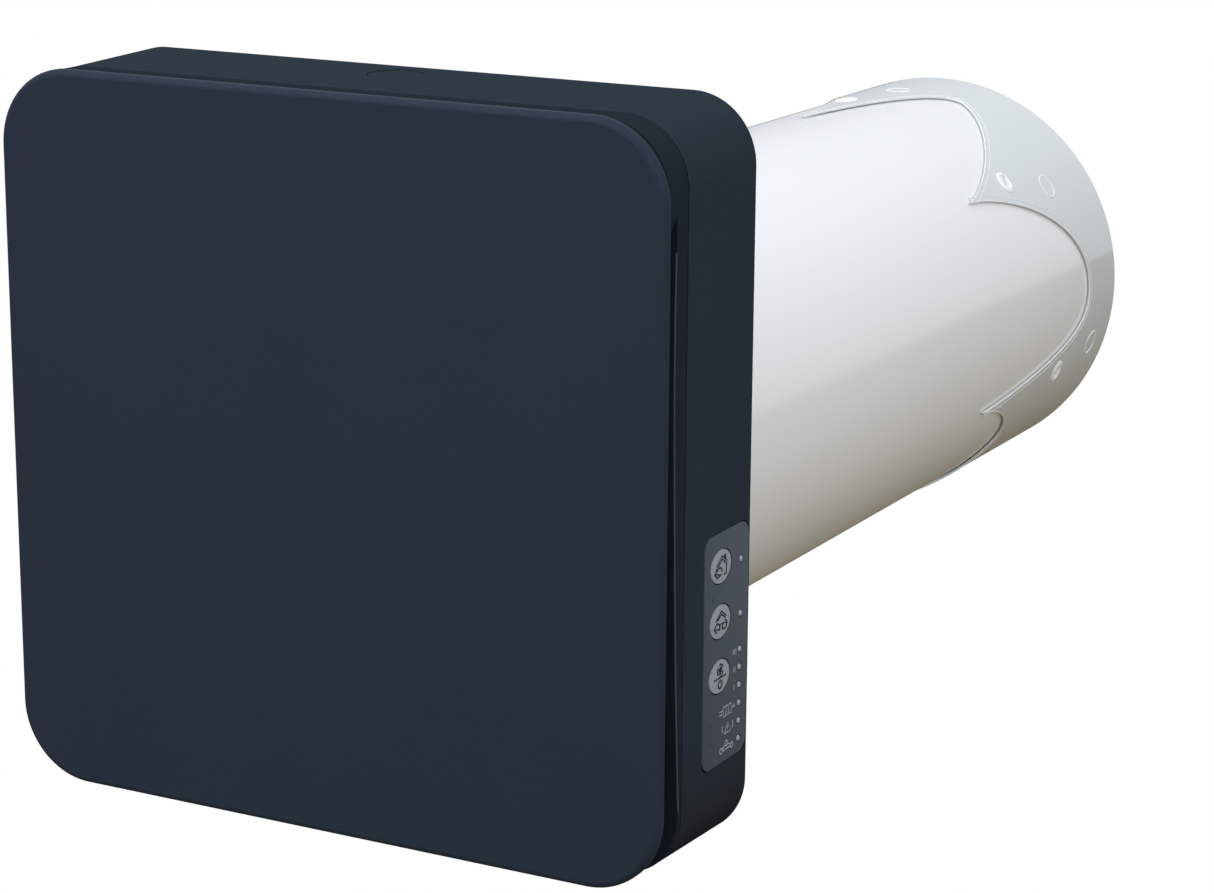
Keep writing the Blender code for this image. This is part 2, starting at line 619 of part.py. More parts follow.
def fan_lead(black):
    """The motor's lead, clipped along a strut and up to the board."""
    route = [
        (0.0100, -0.0139, 0.0100), (0.0250, -0.0139, 0.0250), (0.0390, -0.0139, 0.0390),
        (0.0432, -0.0152, 0.0432), (0.0472, -0.0168, 0.0472), (0.0530, -0.0170, 0.0530),
        (0.0580, -0.0190, 0.0600),
        (0.0550, -0.0240, 0.0710), (0.0440, -0.0275, 0.0810), (0.0300, -0.0290, 0.0900),
    ]
    curve = bpy.data.curves.new("fan_lead", "CURVE")
    curve.dimensions = "3D"
    curve.bevel_depth, curve.bevel_resolution, curve.use_fill_caps = 0.0011, 1, True
    points = smooth_route(route, 3)
    spline = curve.splines.new("POLY")
    spline.points.add(len(points) - 1)
    for point, place_ in zip(spline.points, points):
        point.co = (*place_, 1)
    curve.materials.append(black)
    obj = bpy.data.objects.new("fan_lead", curve)
    bpy.context.scene.collection.objects.link(obj)
    return obj


# --- the fan ------------------------------------------------------------------------------------
def fan_housing(black):
    profile = [
        (FAN_BORE_R, FAN_FRONT), (FAN_FLANGE_R, FAN_FRONT), (FAN_FLANGE_R, WEB_FRONT - GAP),
        (FAN_OUTER_R, WEB_FRONT - GAP), (FAN_OUTER_R, FAN_BACK), (FAN_BORE_R, FAN_BACK),
    ]
    obj = finished("fan_housing", turned(profile), black, smooth=True)
    half = (FAN_BORE_R + FAN_OUTER_R) / 2
    for degrees in (45, 135):
        add(obj, turn_about_duct(box((-half, half), STRUT_Y, (-0.003, 0.003)), degrees))
    add(obj, rod(0.020, *STRUT_Y, steps=20))
    return obj


def fan_guard(steel):
    """Flat rings on four spokes, resting on the fan's flange."""
    front, back = FAN_FRONT - GAP - 0.002, FAN_FRONT - GAP
    obj = finished("fan_guard", sleeve(0.0690, 0.0780, front, back), steel, smooth=True)
    for degrees in (0, 90):
        spoke = box((-0.072, 0.072), (front + 0.0002, back - 0.0002), (-0.0015, 0.0015))
        add(obj, turn_about_duct(spoke, degrees))
    for radius, steps in ((0.022, 16), (0.038, 20), (0.054, 24)):
        add(obj, sleeve(radius, radius + 0.002, front, back, steps=steps))
    cut(obj, turn_about_duct(box((0.066, 0.082), (front - 0.001, back + 0.001), (-0.0025, 0.0025)), 45))
    return obj


def motor_parts(steel, copper):
    windings = sleeve(BEARING_R + GAP, STATOR_R, *STATOR_Y, steps=20)
    stator = finished("motor_stator", windings, copper, smooth=True)
    bearings = [
        finished(name, sleeve(BEARING_BORE_R, BEARING_R, low, low + 0.0035, steps=12), steel, smooth=True)
        for name, low in (("bearing_front", -0.0080), ("bearing_rear", 0.0190))
    ]
    return [stator, *bearings]


def blade(number):
    """One twisted blade, from inside the hub's wall to the tip."""
    bm = bmesh.new()
    start = 2 * math.pi * number / BLADES
    across = 4
    loops = []
    for share in (0.0, 0.5, 1.0):
        radius = HUB_R - 0.0008 + share * (BLADE_TIP_R - HUB_R + 0.0008)
        chord = 0.024 + 0.016 * share
        stagger = math.radians(40 + 24 * share)
        faces = []
        for side in (1, -1):
            row = []
            for k in range(across + 1):
                s = k / across - 0.5
                camber = 0.0035 * (1 - 4 * s * s)
                thick = side * BLADE_THICKNESS / 2 * (1 - 1.4 * s * s)
                along = s * chord * math.sin(stagger) + (camber + thick) * math.cos(stagger)
                axial = s * chord * math.cos(stagger) - (camber + thick) * math.sin(stagger)
                angle = start + along / radius
                point = (radius * math.cos(angle), BLADE_Y + axial, radius * math.sin(angle))
                row.append(bm.verts.new(point))
            faces.append(row)
        loops.append(faces[0] + faces[1][::-1])
    size = len(loops[0])
    for loop, following in zip(loops, loops[1:]):
        for k in range(size):
            bm.faces.new((loop[k], loop[(k + 1) % size], following[(k + 1) % size], following[k]))
    for loop in (loops[0], loops[-1]):
        for k in range(across):
            bm.faces.new((loop[k], loop[k + 1], loop[size - 2 - k], loop[size - 1 - k]))
    return bm


def impeller(black):
    profile = [
        (0, HUB_Y[1]), (HUB_R, HUB_Y[1]), (HUB_R, HUB_Y[0]), (HUB_INNER_R, HUB_Y[0]),
        (HUB_INNER_R, HUB_Y[1] - 0.0035), (0, HUB_Y[1] - 0.0035),
    ]
    obj = finished("impeller", turned(profile, solid=True, steps=28), black, smooth=True)
    add(obj, merged(*[blade(number) for number in range(BLADES)]))
    return obj


def rotor_shaft(steel):
    bm = rod(SHAFT_R, -0.0080, HUB_Y[1] - 0.0035 - GAP)
    return finished("rotor_shaft", bm, steel, smooth=True)


# --- the shutters -------------------------------------------------------------------------------
def flap(name, x, black):
    """A shutter strip on a vertical spindle, standing across the side passage."""
    low, high = HEAD_RISE - FLAP_HALF - 0.004, HEAD_RISE + FLAP_HALF + 0.004
    spindle = rod(SPINDLE_R, low, high, "Z", (x, FLAP_Y), 12)
    obj = finished(name, spindle, black, origin=(x, FLAP_Y, HEAD_RISE), smooth=True)
    half = FLAP_THICKNESS / 2
    height = (HEAD_RISE - FLAP_HALF, HEAD_RISE + FLAP_HALF)
    add(obj, box((x - half, x + half), (FLAP_Y - FLAP_REACH, FLAP_Y), height))
    return obj


def flap_lug(name, x, black):
    low, high = HEAD_RISE + FLAP_HALF + 0.0012, HEAD_RISE + FLAP_HALF + 0.0052
    obj = finished(name, box((x - 0.004, x + 0.004), (-0.0440, FRAME_WEB_FRONT - GAP), (low, high)), black)
    cut(obj, rod(SPINDLE_R + 0.0004, low - 0.01, high + 0.01, "Z", (x, FLAP_Y), 12))
    return obj


def flap_motor(name, x, steel):
    top = HEAD_RISE - FLAP_HALF - 0.0045
    profile = [
        (0, top), (SPINDLE_R, top), (SPINDLE_R, top - 0.0020), (0.0060, top - 0.0020),
        (0.0060, top - 0.0235), (0, top - 0.0235),
    ]
    return finished(name, turned(profile, "Z", (x, FLAP_Y), 20, solid=True), steel, smooth=True)


def acoustic_foam(foam):
    bm = box((-0.1050, -0.084), (-0.0345, WEB_FRONT - GAP), (-0.046, 0.070))
    return finished("acoustic_foam", bm, foam)


# --- the whole unit -----------------------------------------------------------------------------
def main():
    clear_scene()
    anthracite = material("anthracite", (0.023, 0.031, 0.045), 0.45)
    overlay_grey = material("overlay_grey", (0.055, 0.068, 0.080), 0.30)
    key_grey = material("key_grey", (0.36, 0.37, 0.40), 0.45)
    white = material("duct_white", (0.80, 0.81, 0.81), 0.15)
    clear = material("collar_white", (0.62, 0.66, 0.67), 0.12)
    black = material("black_plastic", (0.015, 0.016, 0.018), 0.50)
    rubber = material("black_rubber", (0.010, 0.010, 0.010), 0.80)
    foam = material("insulation_foam", (0.28, 0.29, 0.30), 0.95)
    filter_foam = material("filter_foam", (0.06, 0.06, 0.065), 0.95)
    ceramic = material("ceramic", (0.66, 0.58, 0.46), 0.85)
    webbing = material("webbing", (0.02, 0.02, 0.02), 0.90)
    steel = material("steel", (0.60, 0.60, 0.62), 0.30, 1.0)
    copper = material("copper", (0.70, 0.34, 0.20), 0.35, 1.0)
    green = material("board_green", (0.01, 0.10, 0.05), 0.40)

    wall_side = empty("wall_side", (0, 0, 0))
    attach(
        wall_side, duct_tube(white), end_collar(clear), *collar_screws(steel), wall_plate(black),
        cable_grommet(rubber), plate_connector(black),
        *magnets("plate_magnet", -0.0048, PLATE_FRONT - GAP, steel),
    )
    core = empty("core", (0, CORE_Y[0], 0), wall_side)
    attach(core, *cartridge(ceramic, foam, filter_foam, black, webbing))

    head = empty("head", (0, 0, 0), wall_side)
    attach(head, casing(anthracite), front_frame(anthracite), *clip_sockets(black))
    attach(head, control_overlay(overlay_grey), led_light_bar(white), control_board(green))
    attach(head, latch_guide(black), release_spring(steel), main_board(green), *board_parts(black, steel))
    attach(head, fan_housing(black), fan_guard(steel), *motor_parts(steel, copper), fan_lead(black))
    attach(head, acoustic_foam(foam), *magnets("head_magnet", WEB_BACK + GAP, -0.0052, steel))
    for side, x in (("left", -FLAP_X), ("right", FLAP_X)):
        attach(head, flap_lug(f"flap_lug_{side}", x, black), flap_motor(f"flap_motor_{side}", x, steel))
        swing = empty(f"{side}_flap_axis", (x, FLAP_Y, HEAD_RISE), head)
        attach(swing, flap(f"{side}_flap", x, black))
    attach(empty("fan_axis", (0, BLADE_Y, 0), head), impeller(black), rotor_shaft(steel))
    attach(empty("panel_axis", (0, PANEL_BACK, HEAD_RISE), head), front_panel(anthracite))
    for name, z in zip(("supply_key", "recovery_key", "speed_key"), KEY_ZS):
        attach(empty(f"{name}_axis", (0.1088, KEY_Y, z), head), key(name, z, key_grey))
    attach(empty("release_axis", (0, BUTTON_Y, TOP), head), release_button(anthracite))


main()
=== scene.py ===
import json
import math

import bmesh
import bpy
from mathutils import Matrix, Vector


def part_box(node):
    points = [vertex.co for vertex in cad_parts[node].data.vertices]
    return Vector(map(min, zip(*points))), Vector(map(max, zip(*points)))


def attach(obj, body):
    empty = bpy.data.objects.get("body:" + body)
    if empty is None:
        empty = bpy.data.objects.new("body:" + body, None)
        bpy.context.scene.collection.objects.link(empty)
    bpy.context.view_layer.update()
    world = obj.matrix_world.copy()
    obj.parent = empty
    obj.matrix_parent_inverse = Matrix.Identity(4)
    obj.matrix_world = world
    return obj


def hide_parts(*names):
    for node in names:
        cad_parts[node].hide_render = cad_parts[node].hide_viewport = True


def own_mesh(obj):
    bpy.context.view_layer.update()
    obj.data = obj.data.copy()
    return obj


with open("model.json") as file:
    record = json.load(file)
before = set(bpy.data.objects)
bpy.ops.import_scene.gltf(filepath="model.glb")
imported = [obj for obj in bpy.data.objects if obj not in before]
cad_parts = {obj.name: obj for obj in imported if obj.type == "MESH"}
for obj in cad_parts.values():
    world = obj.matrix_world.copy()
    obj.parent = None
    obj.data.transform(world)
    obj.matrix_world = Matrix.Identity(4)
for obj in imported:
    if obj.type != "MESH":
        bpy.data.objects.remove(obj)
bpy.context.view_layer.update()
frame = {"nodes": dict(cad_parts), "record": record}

nodes = frame["nodes"]
print("frame loaded,", len(nodes), "nodes")

for scrap in ("Cube", "Light", "Camera"):
    if scrap in bpy.data.objects and scrap not in nodes:
        bpy.data.objects.remove(bpy.data.objects[scrap])

gap = 0.0003  # play between the shell and the control film
panelLow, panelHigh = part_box("front_panel")
casingLow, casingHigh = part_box("casing")
frameLow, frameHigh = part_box("front_frame")
ductLow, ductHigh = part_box("duct_tube")
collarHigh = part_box("end_collar")[1]
overlayLow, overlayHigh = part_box("control_overlay")
middle = (panelLow + panelHigh) / 2
rise = middle.z  # the head's centre above the duct's axis


# small modelling steps that every piece uses
def dropAll():
    if bpy.context.mode != "OBJECT":
        bpy.ops.object.mode_set(mode="OBJECT")
    bpy.ops.object.select_all(action="DESELECT")


def takeUp(piece):
    dropAll()
    piece.select_set(True)
    bpy.context.view_layer.objects.active = piece


def settle(piece):  # puts a piece's place into its mesh
    takeUp(piece)
    bpy.ops.object.transform_apply(location=True, rotation=True, scale=True)
    return piece


def named(name):
    piece = bpy.context.active_object
    piece.name = name
    piece.data.name = name
    return piece


def pickFaces(piece, test):  # leaves the piece in edit mode with those faces picked
    takeUp(piece)
    bpy.ops.object.mode_set(mode="EDIT")
    bpy.ops.mesh.select_mode(type="FACE")
    bpy.ops.mesh.select_all(action="DESELECT")
    shape = bmesh.from_edit_mesh(piece.data)
    shape.normal_update()
    for face in shape.faces:
        face.select_set(bool(test(face.calc_center_median(), face.normal)))
    bmesh.update_edit_mesh(piece.data)


def pickEdges(piece, test):
    takeUp(piece)
    bpy.ops.object.mode_set(mode="EDIT")
    bpy.ops.mesh.select_mode(type="EDGE")
    bpy.ops.mesh.select_all(action="DESELECT")
    shape = bmesh.from_edit_mesh(piece.data)
    for edge in shape.edges:
        edge.select_set(bool(test(edge.verts[0].co, edge.verts[1].co)))
    bmesh.update_edit_mesh(piece.data)


def closeEdit():
    bpy.ops.object.mode_set(mode="OBJECT")


def roundEdges(piece, test, width, segments):
    pickEdges(piece, test)
    bpy.ops.mesh.bevel(offset=width, segments=segments, profile=0.5, affect="EDGES")
    closeEdit()


def cleanUp(piece):  # doubles first, then the way the faces point
    takeUp(piece)
    bpy.ops.object.mode_set(mode="EDIT")
    bpy.ops.mesh.select_all(action="SELECT")
    bpy.ops.mesh.remove_doubles(threshold=1e-6)
    bpy.ops.mesh.normals_make_consistent(inside=False)
    closeEdit()


def addBlock(name, x, y, z):
    dropAll()
    centre = (sum(x) / 2, sum(y) / 2, sum(z) / 2)
    size = (x[1] - x[0], y[1] - y[0], z[1] - z[0])
    bpy.ops.mesh.primitive_cube_add(size=1, location=centre, scale=size)
    return settle(named(name))


turns = {"X": (0, math.radians(90), 0), "Y": (math.radians(90), 0, 0), "Z": (0, 0, 0)}


def addRod(name, radius, low, high, axis="Y", centre=(0, 0), steps=48):
    dropAll()
    half = (low + high) / 2
    place = {"X": (half, *centre), "Y": (centre[0], half, centre[1]), "Z": (*centre, half)}[axis]
    bpy.ops.mesh.primitive_cylinder_add(
        vertices=steps, radius=radius, depth=high - low, location=place, rotation=turns[axis])
    return settle(named(name))


# a block with round corners, seen from the room; rims are the front and back edge rounding
def addRoundedBlock(name, wide, high, corner, front, back, cornerSteps=20, rims=(0, 0), rimSteps=3):
    piece = addBlock(name, (-wide / 2, wide / 2), (front, back), (rise - high / 2, rise + high / 2))
    roundEdges(piece, lambda a, b: abs(a.y - b.y) > 1e-4, corner, cornerSteps)
    for place, width in zip((front, back), rims):
        if width:
            roundEdges(piece, lambda a, b: abs(a.y - place) < 1e-5 and abs(b.y - place) < 1e-5, width, rimSteps)
    return piece


# a section of (radius, height) turned round its axis
def spinProfile(name, profile, axis="Y", centre=(0, 0), steps=96, closed=True):
    dropAll()
    place = {"X": lambda r, h: (h, centre[0] + r, centre[1]), "Y": lambda r, h: (centre[0] + r, h, centre[1]),
             "Z": lambda r, h: (centre[0] + r, centre[1], h)}[axis]
    corners = [place(r, h) for r, h in profile]
    links = [(k, k + 1) for k in range(len(corners) - 1)] + ([(len(corners) - 1, 0)] if closed else [])
    section = bpy.data.meshes.new(name)
    section.from_pydata(corners, links, [])
    piece = bpy.data.objects.new(name, section)
    bpy.context.scene.collection.objects.link(piece)
    takeUp(piece)
    bpy.ops.object.mode_set(mode="EDIT")
    bpy.ops.mesh.select_all(action="SELECT")
    line = {"X": (1, 0, 0), "Y": (0, 1, 0), "Z": (0, 0, 1)}[axis]
    bpy.ops.mesh.spin(steps=steps, angle=2 * math.pi, center=place(0, 0), axis=line)
    closeEdit()
    cleanUp(piece)
    return piece


# a flat outline of (u, v) drawn out along an axis
def addPrism(name, outline, low, high, axis="Y"):
    dropAll()
    place = {"X": lambda u, v: (low, u, v), "Y": lambda u, v: (u, low, v), "Z": lambda u, v: (u, v, low)}[axis]
    sheet = bpy.data.meshes.new(name)
    sheet.from_pydata([place(u, v) for u, v in outline], [], [list(range(len(outline)))])
    piece = bpy.data.objects.new(name, sheet)
    bpy.context.scene.collection.objects.link(piece)
    takeUp(piece)
    bpy.ops.object.mode_set(mode="EDIT")
    bpy.ops.mesh.select_all(action="SELECT")
    step = {"X": (high - low, 0, 0), "Y": (0, high - low, 0), "Z": (0, 0, high - low)}[axis]
    bpy.ops.mesh.extrude_region_move(TRANSFORM_OT_translate={"value": step})
    closeEdit()
    cleanUp(piece)
    return piece


def stretchPiece(piece, centre, factors):
    takeUp(piece)
    bpy.ops.object.mode_set(mode="EDIT")
    bpy.ops.mesh.select_all(action="SELECT")
    bpy.ops.transform.resize(value=factors, center_override=centre)
    closeEdit()
    return piece


def workOn(piece, kind, tool=None, **settings):  # one modifier, applied at once
    takeUp(piece)
    step = piece.modifiers.new(kind.lower(), kind)
    for key, value in settings.items():
        setattr(step, key, value)
    if tool:
        step.object = tool
    bpy.ops.object.modifier_apply(modifier=step.name)


def cutAway(piece, *cutters):
    for cutter in cutters:
        workOn(piece, "BOOLEAN", tool=cutter, operation="DIFFERENCE", solver="EXACT")
        bpy.data.objects.remove(cutter)


def weldOn(piece, *extras):
    for extra in extras:
        workOn(piece, "BOOLEAN", tool=extra, operation="UNION", solver="EXACT")
        bpy.data.objects.remove(extra)


def gather(name, pieces):  # several loose shapes as one piece
    dropAll()
    for piece in pieces:
        piece.select_set(True)
    bpy.context.view_layer.objects.active = pieces[0]
    bpy.ops.object.join()
    return named(name)


def aboutDuct(degrees):
    return Matrix.Rotation(-math.radians(degrees), 4, "Y")


# a wire or a printed line along points
def wireAlong(name, points, radius, cyclic=False, sides=2, flat=None):
    dropAll()
    line = bpy.data.curves.new(name, "CURVE")
    line.dimensions = "3D"
    line.bevel_depth, line.bevel_resolution, line.use_fill_caps = radius, sides, not cyclic
    run = line.splines.new("POLY")
    run.points.add(len(points) - 1)
    for spot, place in zip(run.points, points):
        spot.co = (*place, 1)
    run.use_cyclic_u = cyclic
    piece = bpy.data.objects.new(name, line)
    bpy.context.scene.collection.objects.link(piece)
    takeUp(piece)
    bpy.ops.object.convert(target="MESH")
    piece = bpy.context.active_object
    if flat:  # squashed along X onto the surface it is printed on
        for vert in piece.data.vertices:
            vert.co.x = flat + (vert.co.x - flat) * 0.25
    return piece


def smooth(piece, angle=35):
    takeUp(piece)
    bpy.ops.object.shade_smooth_by_angle(angle=math.radians(angle))


def finishPiece(piece, body, finish, stands=(), angle=35, weighted=True):
    smooth(piece, angle)
    if weighted:
        workOn(piece, "WEIGHTED_NORMAL", keep_sharp=True)
    piece.data.materials.clear()
    piece.data.materials.append(finish)
    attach(piece, body)
    if stands:
        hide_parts(*stands)
    return piece


# shared surface effects
def newGroup(name, inputs, outputs):
    tree = bpy.data.node_groups.new(name, "ShaderNodeTree")
    kinds = {"color": "NodeSocketColor", "value": "NodeSocketFloat", "vector": "NodeSocketVector"}
    for label, kind in inputs:
        tree.interface.new_socket(label, in_out="INPUT", socket_type=kinds[kind])
    for label, kind in outputs:
        tree.interface.new_socket(label, in_out="OUTPUT", socket_type=kinds[kind])
    start = tree.nodes.new("NodeGroupInput")
    end = tree.nodes.new("NodeGroupOutput")
    return tree, start, end


def node(tree, kind, **settings):
    made = tree.nodes.new("ShaderNode" + kind)
    for key, value in settings.items():
        if key in made.inputs:
            made.inputs[key].default_value = value
        else:
            setattr(made, key, value)
    return made


def mixColor(tree, mode, share, first, second):
    made = node(tree, "Mix", data_type="RGBA", blend_type=mode)
    for socket, source in ((made.inputs[0], share), (made.inputs[6], first), (made.inputs[7], second)):
        if hasattr(source, "is_linked"):
            tree.links.new(source, socket)
        else:
            socket.default_value = source
    return made.outputs[2]


def sums(tree, operation, *sources):
    made = node(tree, "Math", operation=operation)
    for socket, source in zip(made.inputs, sources):
        if hasattr(source, "is_linked"):
            tree.links.new(source, socket)
        else:
            socket.default_value = source
    return made.outputs[0]


# fine moulded texture: colour that drifts a little, uneven gloss and a fine bump
def makeGrainGroup():
    tree, start, end = newGroup(
        "mouldedGrain",
        [("Color", "color"), ("Grain Scale", "value"), ("Grain Depth", "value"), ("Drift", "value"),
         ("Gloss", "value")],
        [("Color", "color"), ("Roughness", "value"), ("Normal", "vector")])
    spot = node(tree, "TexCoord")
    fine = node(tree, "TexNoise", Detail=4.0, Roughness=0.6)
    broad = node(tree, "TexNoise", Scale=22.0, Detail=3.0)
    tree.links.new(spot.outputs["Object"], fine.inputs["Vector"])
    tree.links.new(spot.outputs["Object"], broad.inputs["Vector"])
    tree.links.new(start.outputs["Grain Scale"], fine.inputs["Scale"])
    bump = node(tree, "Bump", Distance=0.0001)
    tree.links.new(start.outputs["Grain Depth"], bump.inputs["Strength"])
    tree.links.new(fine.outputs["Fac"], bump.inputs["Height"])
    shift = sums(tree, "SUBTRACT", broad.outputs["Fac"], 0.5)
    speck = sums(tree, "SUBTRACT", fine.outputs["Fac"], 0.5)
    both = sums(tree, "ADD", shift, sums(tree, "MULTIPLY", speck, 0.5))
    level = sums(tree, "ADD", sums(tree, "MULTIPLY", both, start.outputs["Drift"]), 1.0)
    grey = node(tree, "CombineColor")
    for channel in grey.inputs:
        tree.links.new(level, channel)
    tree.links.new(mixColor(tree, "MULTIPLY", 1.0, start.outputs["Color"], grey.outputs[0]), end.inputs["Color"])
    gloss = sums(tree, "ADD", start.outputs["Gloss"], sums(tree, "MULTIPLY", both, 0.12))
    tree.links.new(gloss, end.inputs["Roughness"])
    tree.links.new(bump.outputs["Normal"], end.inputs["Normal"])
    return tree


# lighter, rubbed edges, from how sharply the surface turns
def makeEdgeGroup():
    tree, start, end = newGroup(
        "rubbedEdges", [("Color", "color"), ("Rubbed", "color"), ("Amount", "value")], [("Color", "color")])
    shape = node(tree, "NewGeometry")
    edge = node(tree, "MapRange")
    edge.inputs["From Min"].default_value = 0.52
    edge.inputs["From Max"].default_value = 0.66
    tree.links.new(shape.outputs["Pointiness"], edge.inputs["Value"])
    spot = node(tree, "TexCoord")
    patch = node(tree, "TexNoise", Scale=160.0, Detail=3.0)
    tree.links.new(spot.outputs["Object"], patch.inputs["Vector"])
    worn = sums(tree, "MULTIPLY", edge.outputs[0], patch.outputs["Fac"])
    share = sums(tree, "MULTIPLY", worn, start.outputs["Amount"])
    tree.links.new(mixColor(tree, "MIX", share, start.outputs["Color"], start.outputs["Rubbed"]), end.inputs["Color"])
    return tree


# a thin film of dust on what faces up
def makeDustGroup():
    tree, start, end = newGroup(
        "restingDust", [("Color", "color"), ("Dust", "color"), ("Amount", "value")], [("Color", "color")])
    shape = node(tree, "NewGeometry")
    split = node(tree, "SeparateXYZ")
    tree.links.new(shape.outputs["Normal"], split.inputs[0])
    up = node(tree, "MapRange")
    up.inputs["From Min"].default_value = 0.55
    tree.links.new(split.outputs["Z"], up.inputs["Value"])
    spot = node(tree, "TexCoord")
    patch = node(tree, "TexNoise", Scale=55.0, Detail=6.0, Roughness=0.7)
    tree.links.new(spot.outputs["Object"], patch.inputs["Vector"])
    settled = sums(tree, "MULTIPLY", up.outputs[0], patch.outputs["Fac"])
    share = sums(tree, "MULTIPLY", settled, start.outputs["Amount"])
    tree.links.new(mixColor(tree, "MIX", share, start.outputs["Color"], start.outputs["Dust"]), end.inputs["Color"])
    return tree


grainGroup, edgeGroup, dustGroup = makeGrainGroup(), makeEdgeGroup(), makeDustGroup()


def placeGroup(tree, group, **values):
    made = tree.nodes.new("ShaderNodeGroup")
    made.node_tree = group
    for key, value in values.items():
        made.inputs[key.replace("_", " ")].default_value = value
    return made


dustGrey = (0.42, 0.40, 0.37)


# a moulded or painted finish built on the shared groups
def makeFinish(name, color, gloss, grain=900.0, depth=0.25, drift=0.10, rub=0.15, dust=0.05, metal=0.0, **shader):
    finish = bpy.data.materials.new(name)
    finish.use_nodes = True
    tree = finish.node_tree
    main = tree.nodes["Principled BSDF"]
    pale = tuple(min(1, c * 1.6 + 0.05) for c in color)
    body = placeGroup(tree, grainGroup, Color=(*color, 1), Grain_Scale=grain, Grain_Depth=depth, Drift=drift,
                      Gloss=gloss)
    edges = placeGroup(tree, edgeGroup, Rubbed=(*pale, 1), Amount=rub)
    film = placeGroup(tree, dustGroup, Dust=(*dustGrey, 1), Amount=dust)
    tree.links.new(body.outputs["Color"], edges.inputs["Color"])
    tree.links.new(edges.outputs["Color"], film.inputs["Color"])
    tree.links.new(film.outputs["Color"], main.inputs["Base Color"])
    tree.links.new(body.outputs["Roughness"], main.inputs["Roughness"])
    tree.links.new(body.outputs["Normal"], main.inputs["Normal"])
    main.inputs["Metallic"].default_value = metal
    for key, value in shader.items():
        main.inputs[key.replace("_", " ")].default_value = value
    return finish


satin = makeFinish("anthraciteSatin", (0.0212, 0.0314, 0.0508), 0.55, grain=1500, depth=0.10, drift=0.05, rub=0.05,
                   dust=0.0, Specular_IOR_Level=0.08)
satinSide = makeFinish("anthraciteShell", (0.0255, 0.0350, 0.0480), 0.55, grain=1500, depth=0.12, drift=0.05, rub=0.05,
                       dust=0.0, Specular_IOR_Level=0.0)
satinGrainy = makeFinish("anthraciteRim", (0.0165, 0.0240, 0.0330), 0.50, grain=2600, depth=0.5, drift=0.20, rub=0.12,
                         dust=0.0, Specular_IOR_Level=0.0)
# painted shade for the seam groove between the rim and the shell
seamShadowPaint = makeFinish("seamShadowPaint", (0.0040, 0.0045, 0.0050), 0.80, grain=1600, depth=0.3, drift=0.2, rub=0.0, dust=0.0,
                       Specular_IOR_Level=0.0)
# painted highlight: the light caught by the rim's front edge along the side slots
paintedRimHighlight = makeFinish("paintedRimHighlight", (0.070, 0.081, 0.094), 0.50, grain=1800, depth=0.2, drift=0.3, rub=0.0, dust=0.0,
                       Specular_IOR_Level=0.1)
overlayFilm = makeFinish("overlayFilm", (0.088, 0.112, 0.140), 0.50, grain=2200, depth=0.10, drift=0.10, rub=0.05,
                         dust=0.0, Specular_IOR_Level=0.15)


# painted shade: a finish that grows darker from one place to another
def paintShadeAlong(finish, axis, start, end, tone):
    tree = finish.node_tree
    main = tree.nodes["Principled BSDF"]
    source = main.inputs["Base Color"].links[0].from_socket
    spot = node(tree, "TexCoord")
    split = node(tree, "SeparateXYZ")
    tree.links.new(spot.outputs["Object"], split.inputs[0])
    share = node(tree, "MapRange")
    share.inputs["From Min"].default_value, share.inputs["From Max"].default_value = start, end
    tree.links.new(split.outputs[axis], share.inputs["Value"])
    dark = mixColor(tree, "MULTIPLY", share.outputs[0], source, (*tone, 1))
    tree.links.new(dark, main.inputs["Base Color"])


# painted shade: the shell's sides darken towards the bottom, standing in for a soft shadow there
paintShadeAlong(satinSide, "Z", rise - 0.062, rise - 0.104, (0.88, 0.72, 0.62))
# painted shade: the control film darkens towards its bottom and towards the front panel
paintShadeAlong(overlayFilm, "Z", overlayHigh.z, overlayLow.z, (0.74, 0.74, 0.74))
paintShadeAlong(overlayFilm, "Y", overlayHigh.y, overlayLow.y, (0.80, 0.80, 0.80))
keyFilm = makeFinish("keyFilm", (0.32, 0.34, 0.38), 0.45, grain=2000, depth=0.10, drift=0.05, rub=0.0, dust=0.0,
                     Specular_IOR_Level=0.2)
inkDark = makeFinish("inkDark", (0.022, 0.030, 0.038), 0.55, grain=2000, depth=0.05, drift=0.10, rub=0.0, dust=0.0,
                     Specular_IOR_Level=0.1)
inkPale = makeFinish("inkPale", (0.34, 0.37, 0.40), 0.55, grain=2000, depth=0.05, drift=0.10, rub=0.0, dust=0.0,
                     Specular_IOR_Level=0.1)
lightLens = makeFinish("lightLens", (0.36, 0.38, 0.45), 0.25, grain=1200, depth=0.05, drift=0.05, rub=0.0, dust=0.0)
ductGloss = makeFinish("ductGloss", (0.87, 0.875, 0.865), 0.18, grain=260, depth=0.03, drift=0.02, rub=0.0, dust=0.02,
                       Coat_Weight=0.4, Coat_Roughness=0.06)
collarGloss = makeFinish("collarGloss", (0.68, 0.715, 0.72), 0.14, grain=300, depth=0.03, drift=0.03, rub=0.0,
                         dust=0.02, Coat_Weight=0.5, Coat_Roughness=0.05)
beadGloss = makeFinish("beadGloss", (0.90, 0.92, 0.92), 0.20, grain=300, depth=0.02, drift=0.02, rub=0.0, dust=0.0)
blackPlastic = makeFinish("blackPlastic", (0.014, 0.015, 0.017), 0.48, grain=1100, depth=0.35, drift=0.15)
blackRubber = makeFinish("blackRubber", (0.012, 0.012, 0.012), 0.75, grain=1600, depth=0.5, drift=0.2)
foamGrey = makeFinish("foamGrey", (0.26, 0.27, 0.28), 0.95, grain=900, depth=1.0, drift=0.5, rub=0.0)
foamDark = makeFinish("foamDark", (0.05, 0.05, 0.055), 0.95, grain=700, depth=1.0, drift=0.9, rub=0.0)
ceramicBody = makeFinish("ceramicBody", (0.62, 0.54, 0.43), 0.85, grain=800, depth=0.5, drift=0.25)
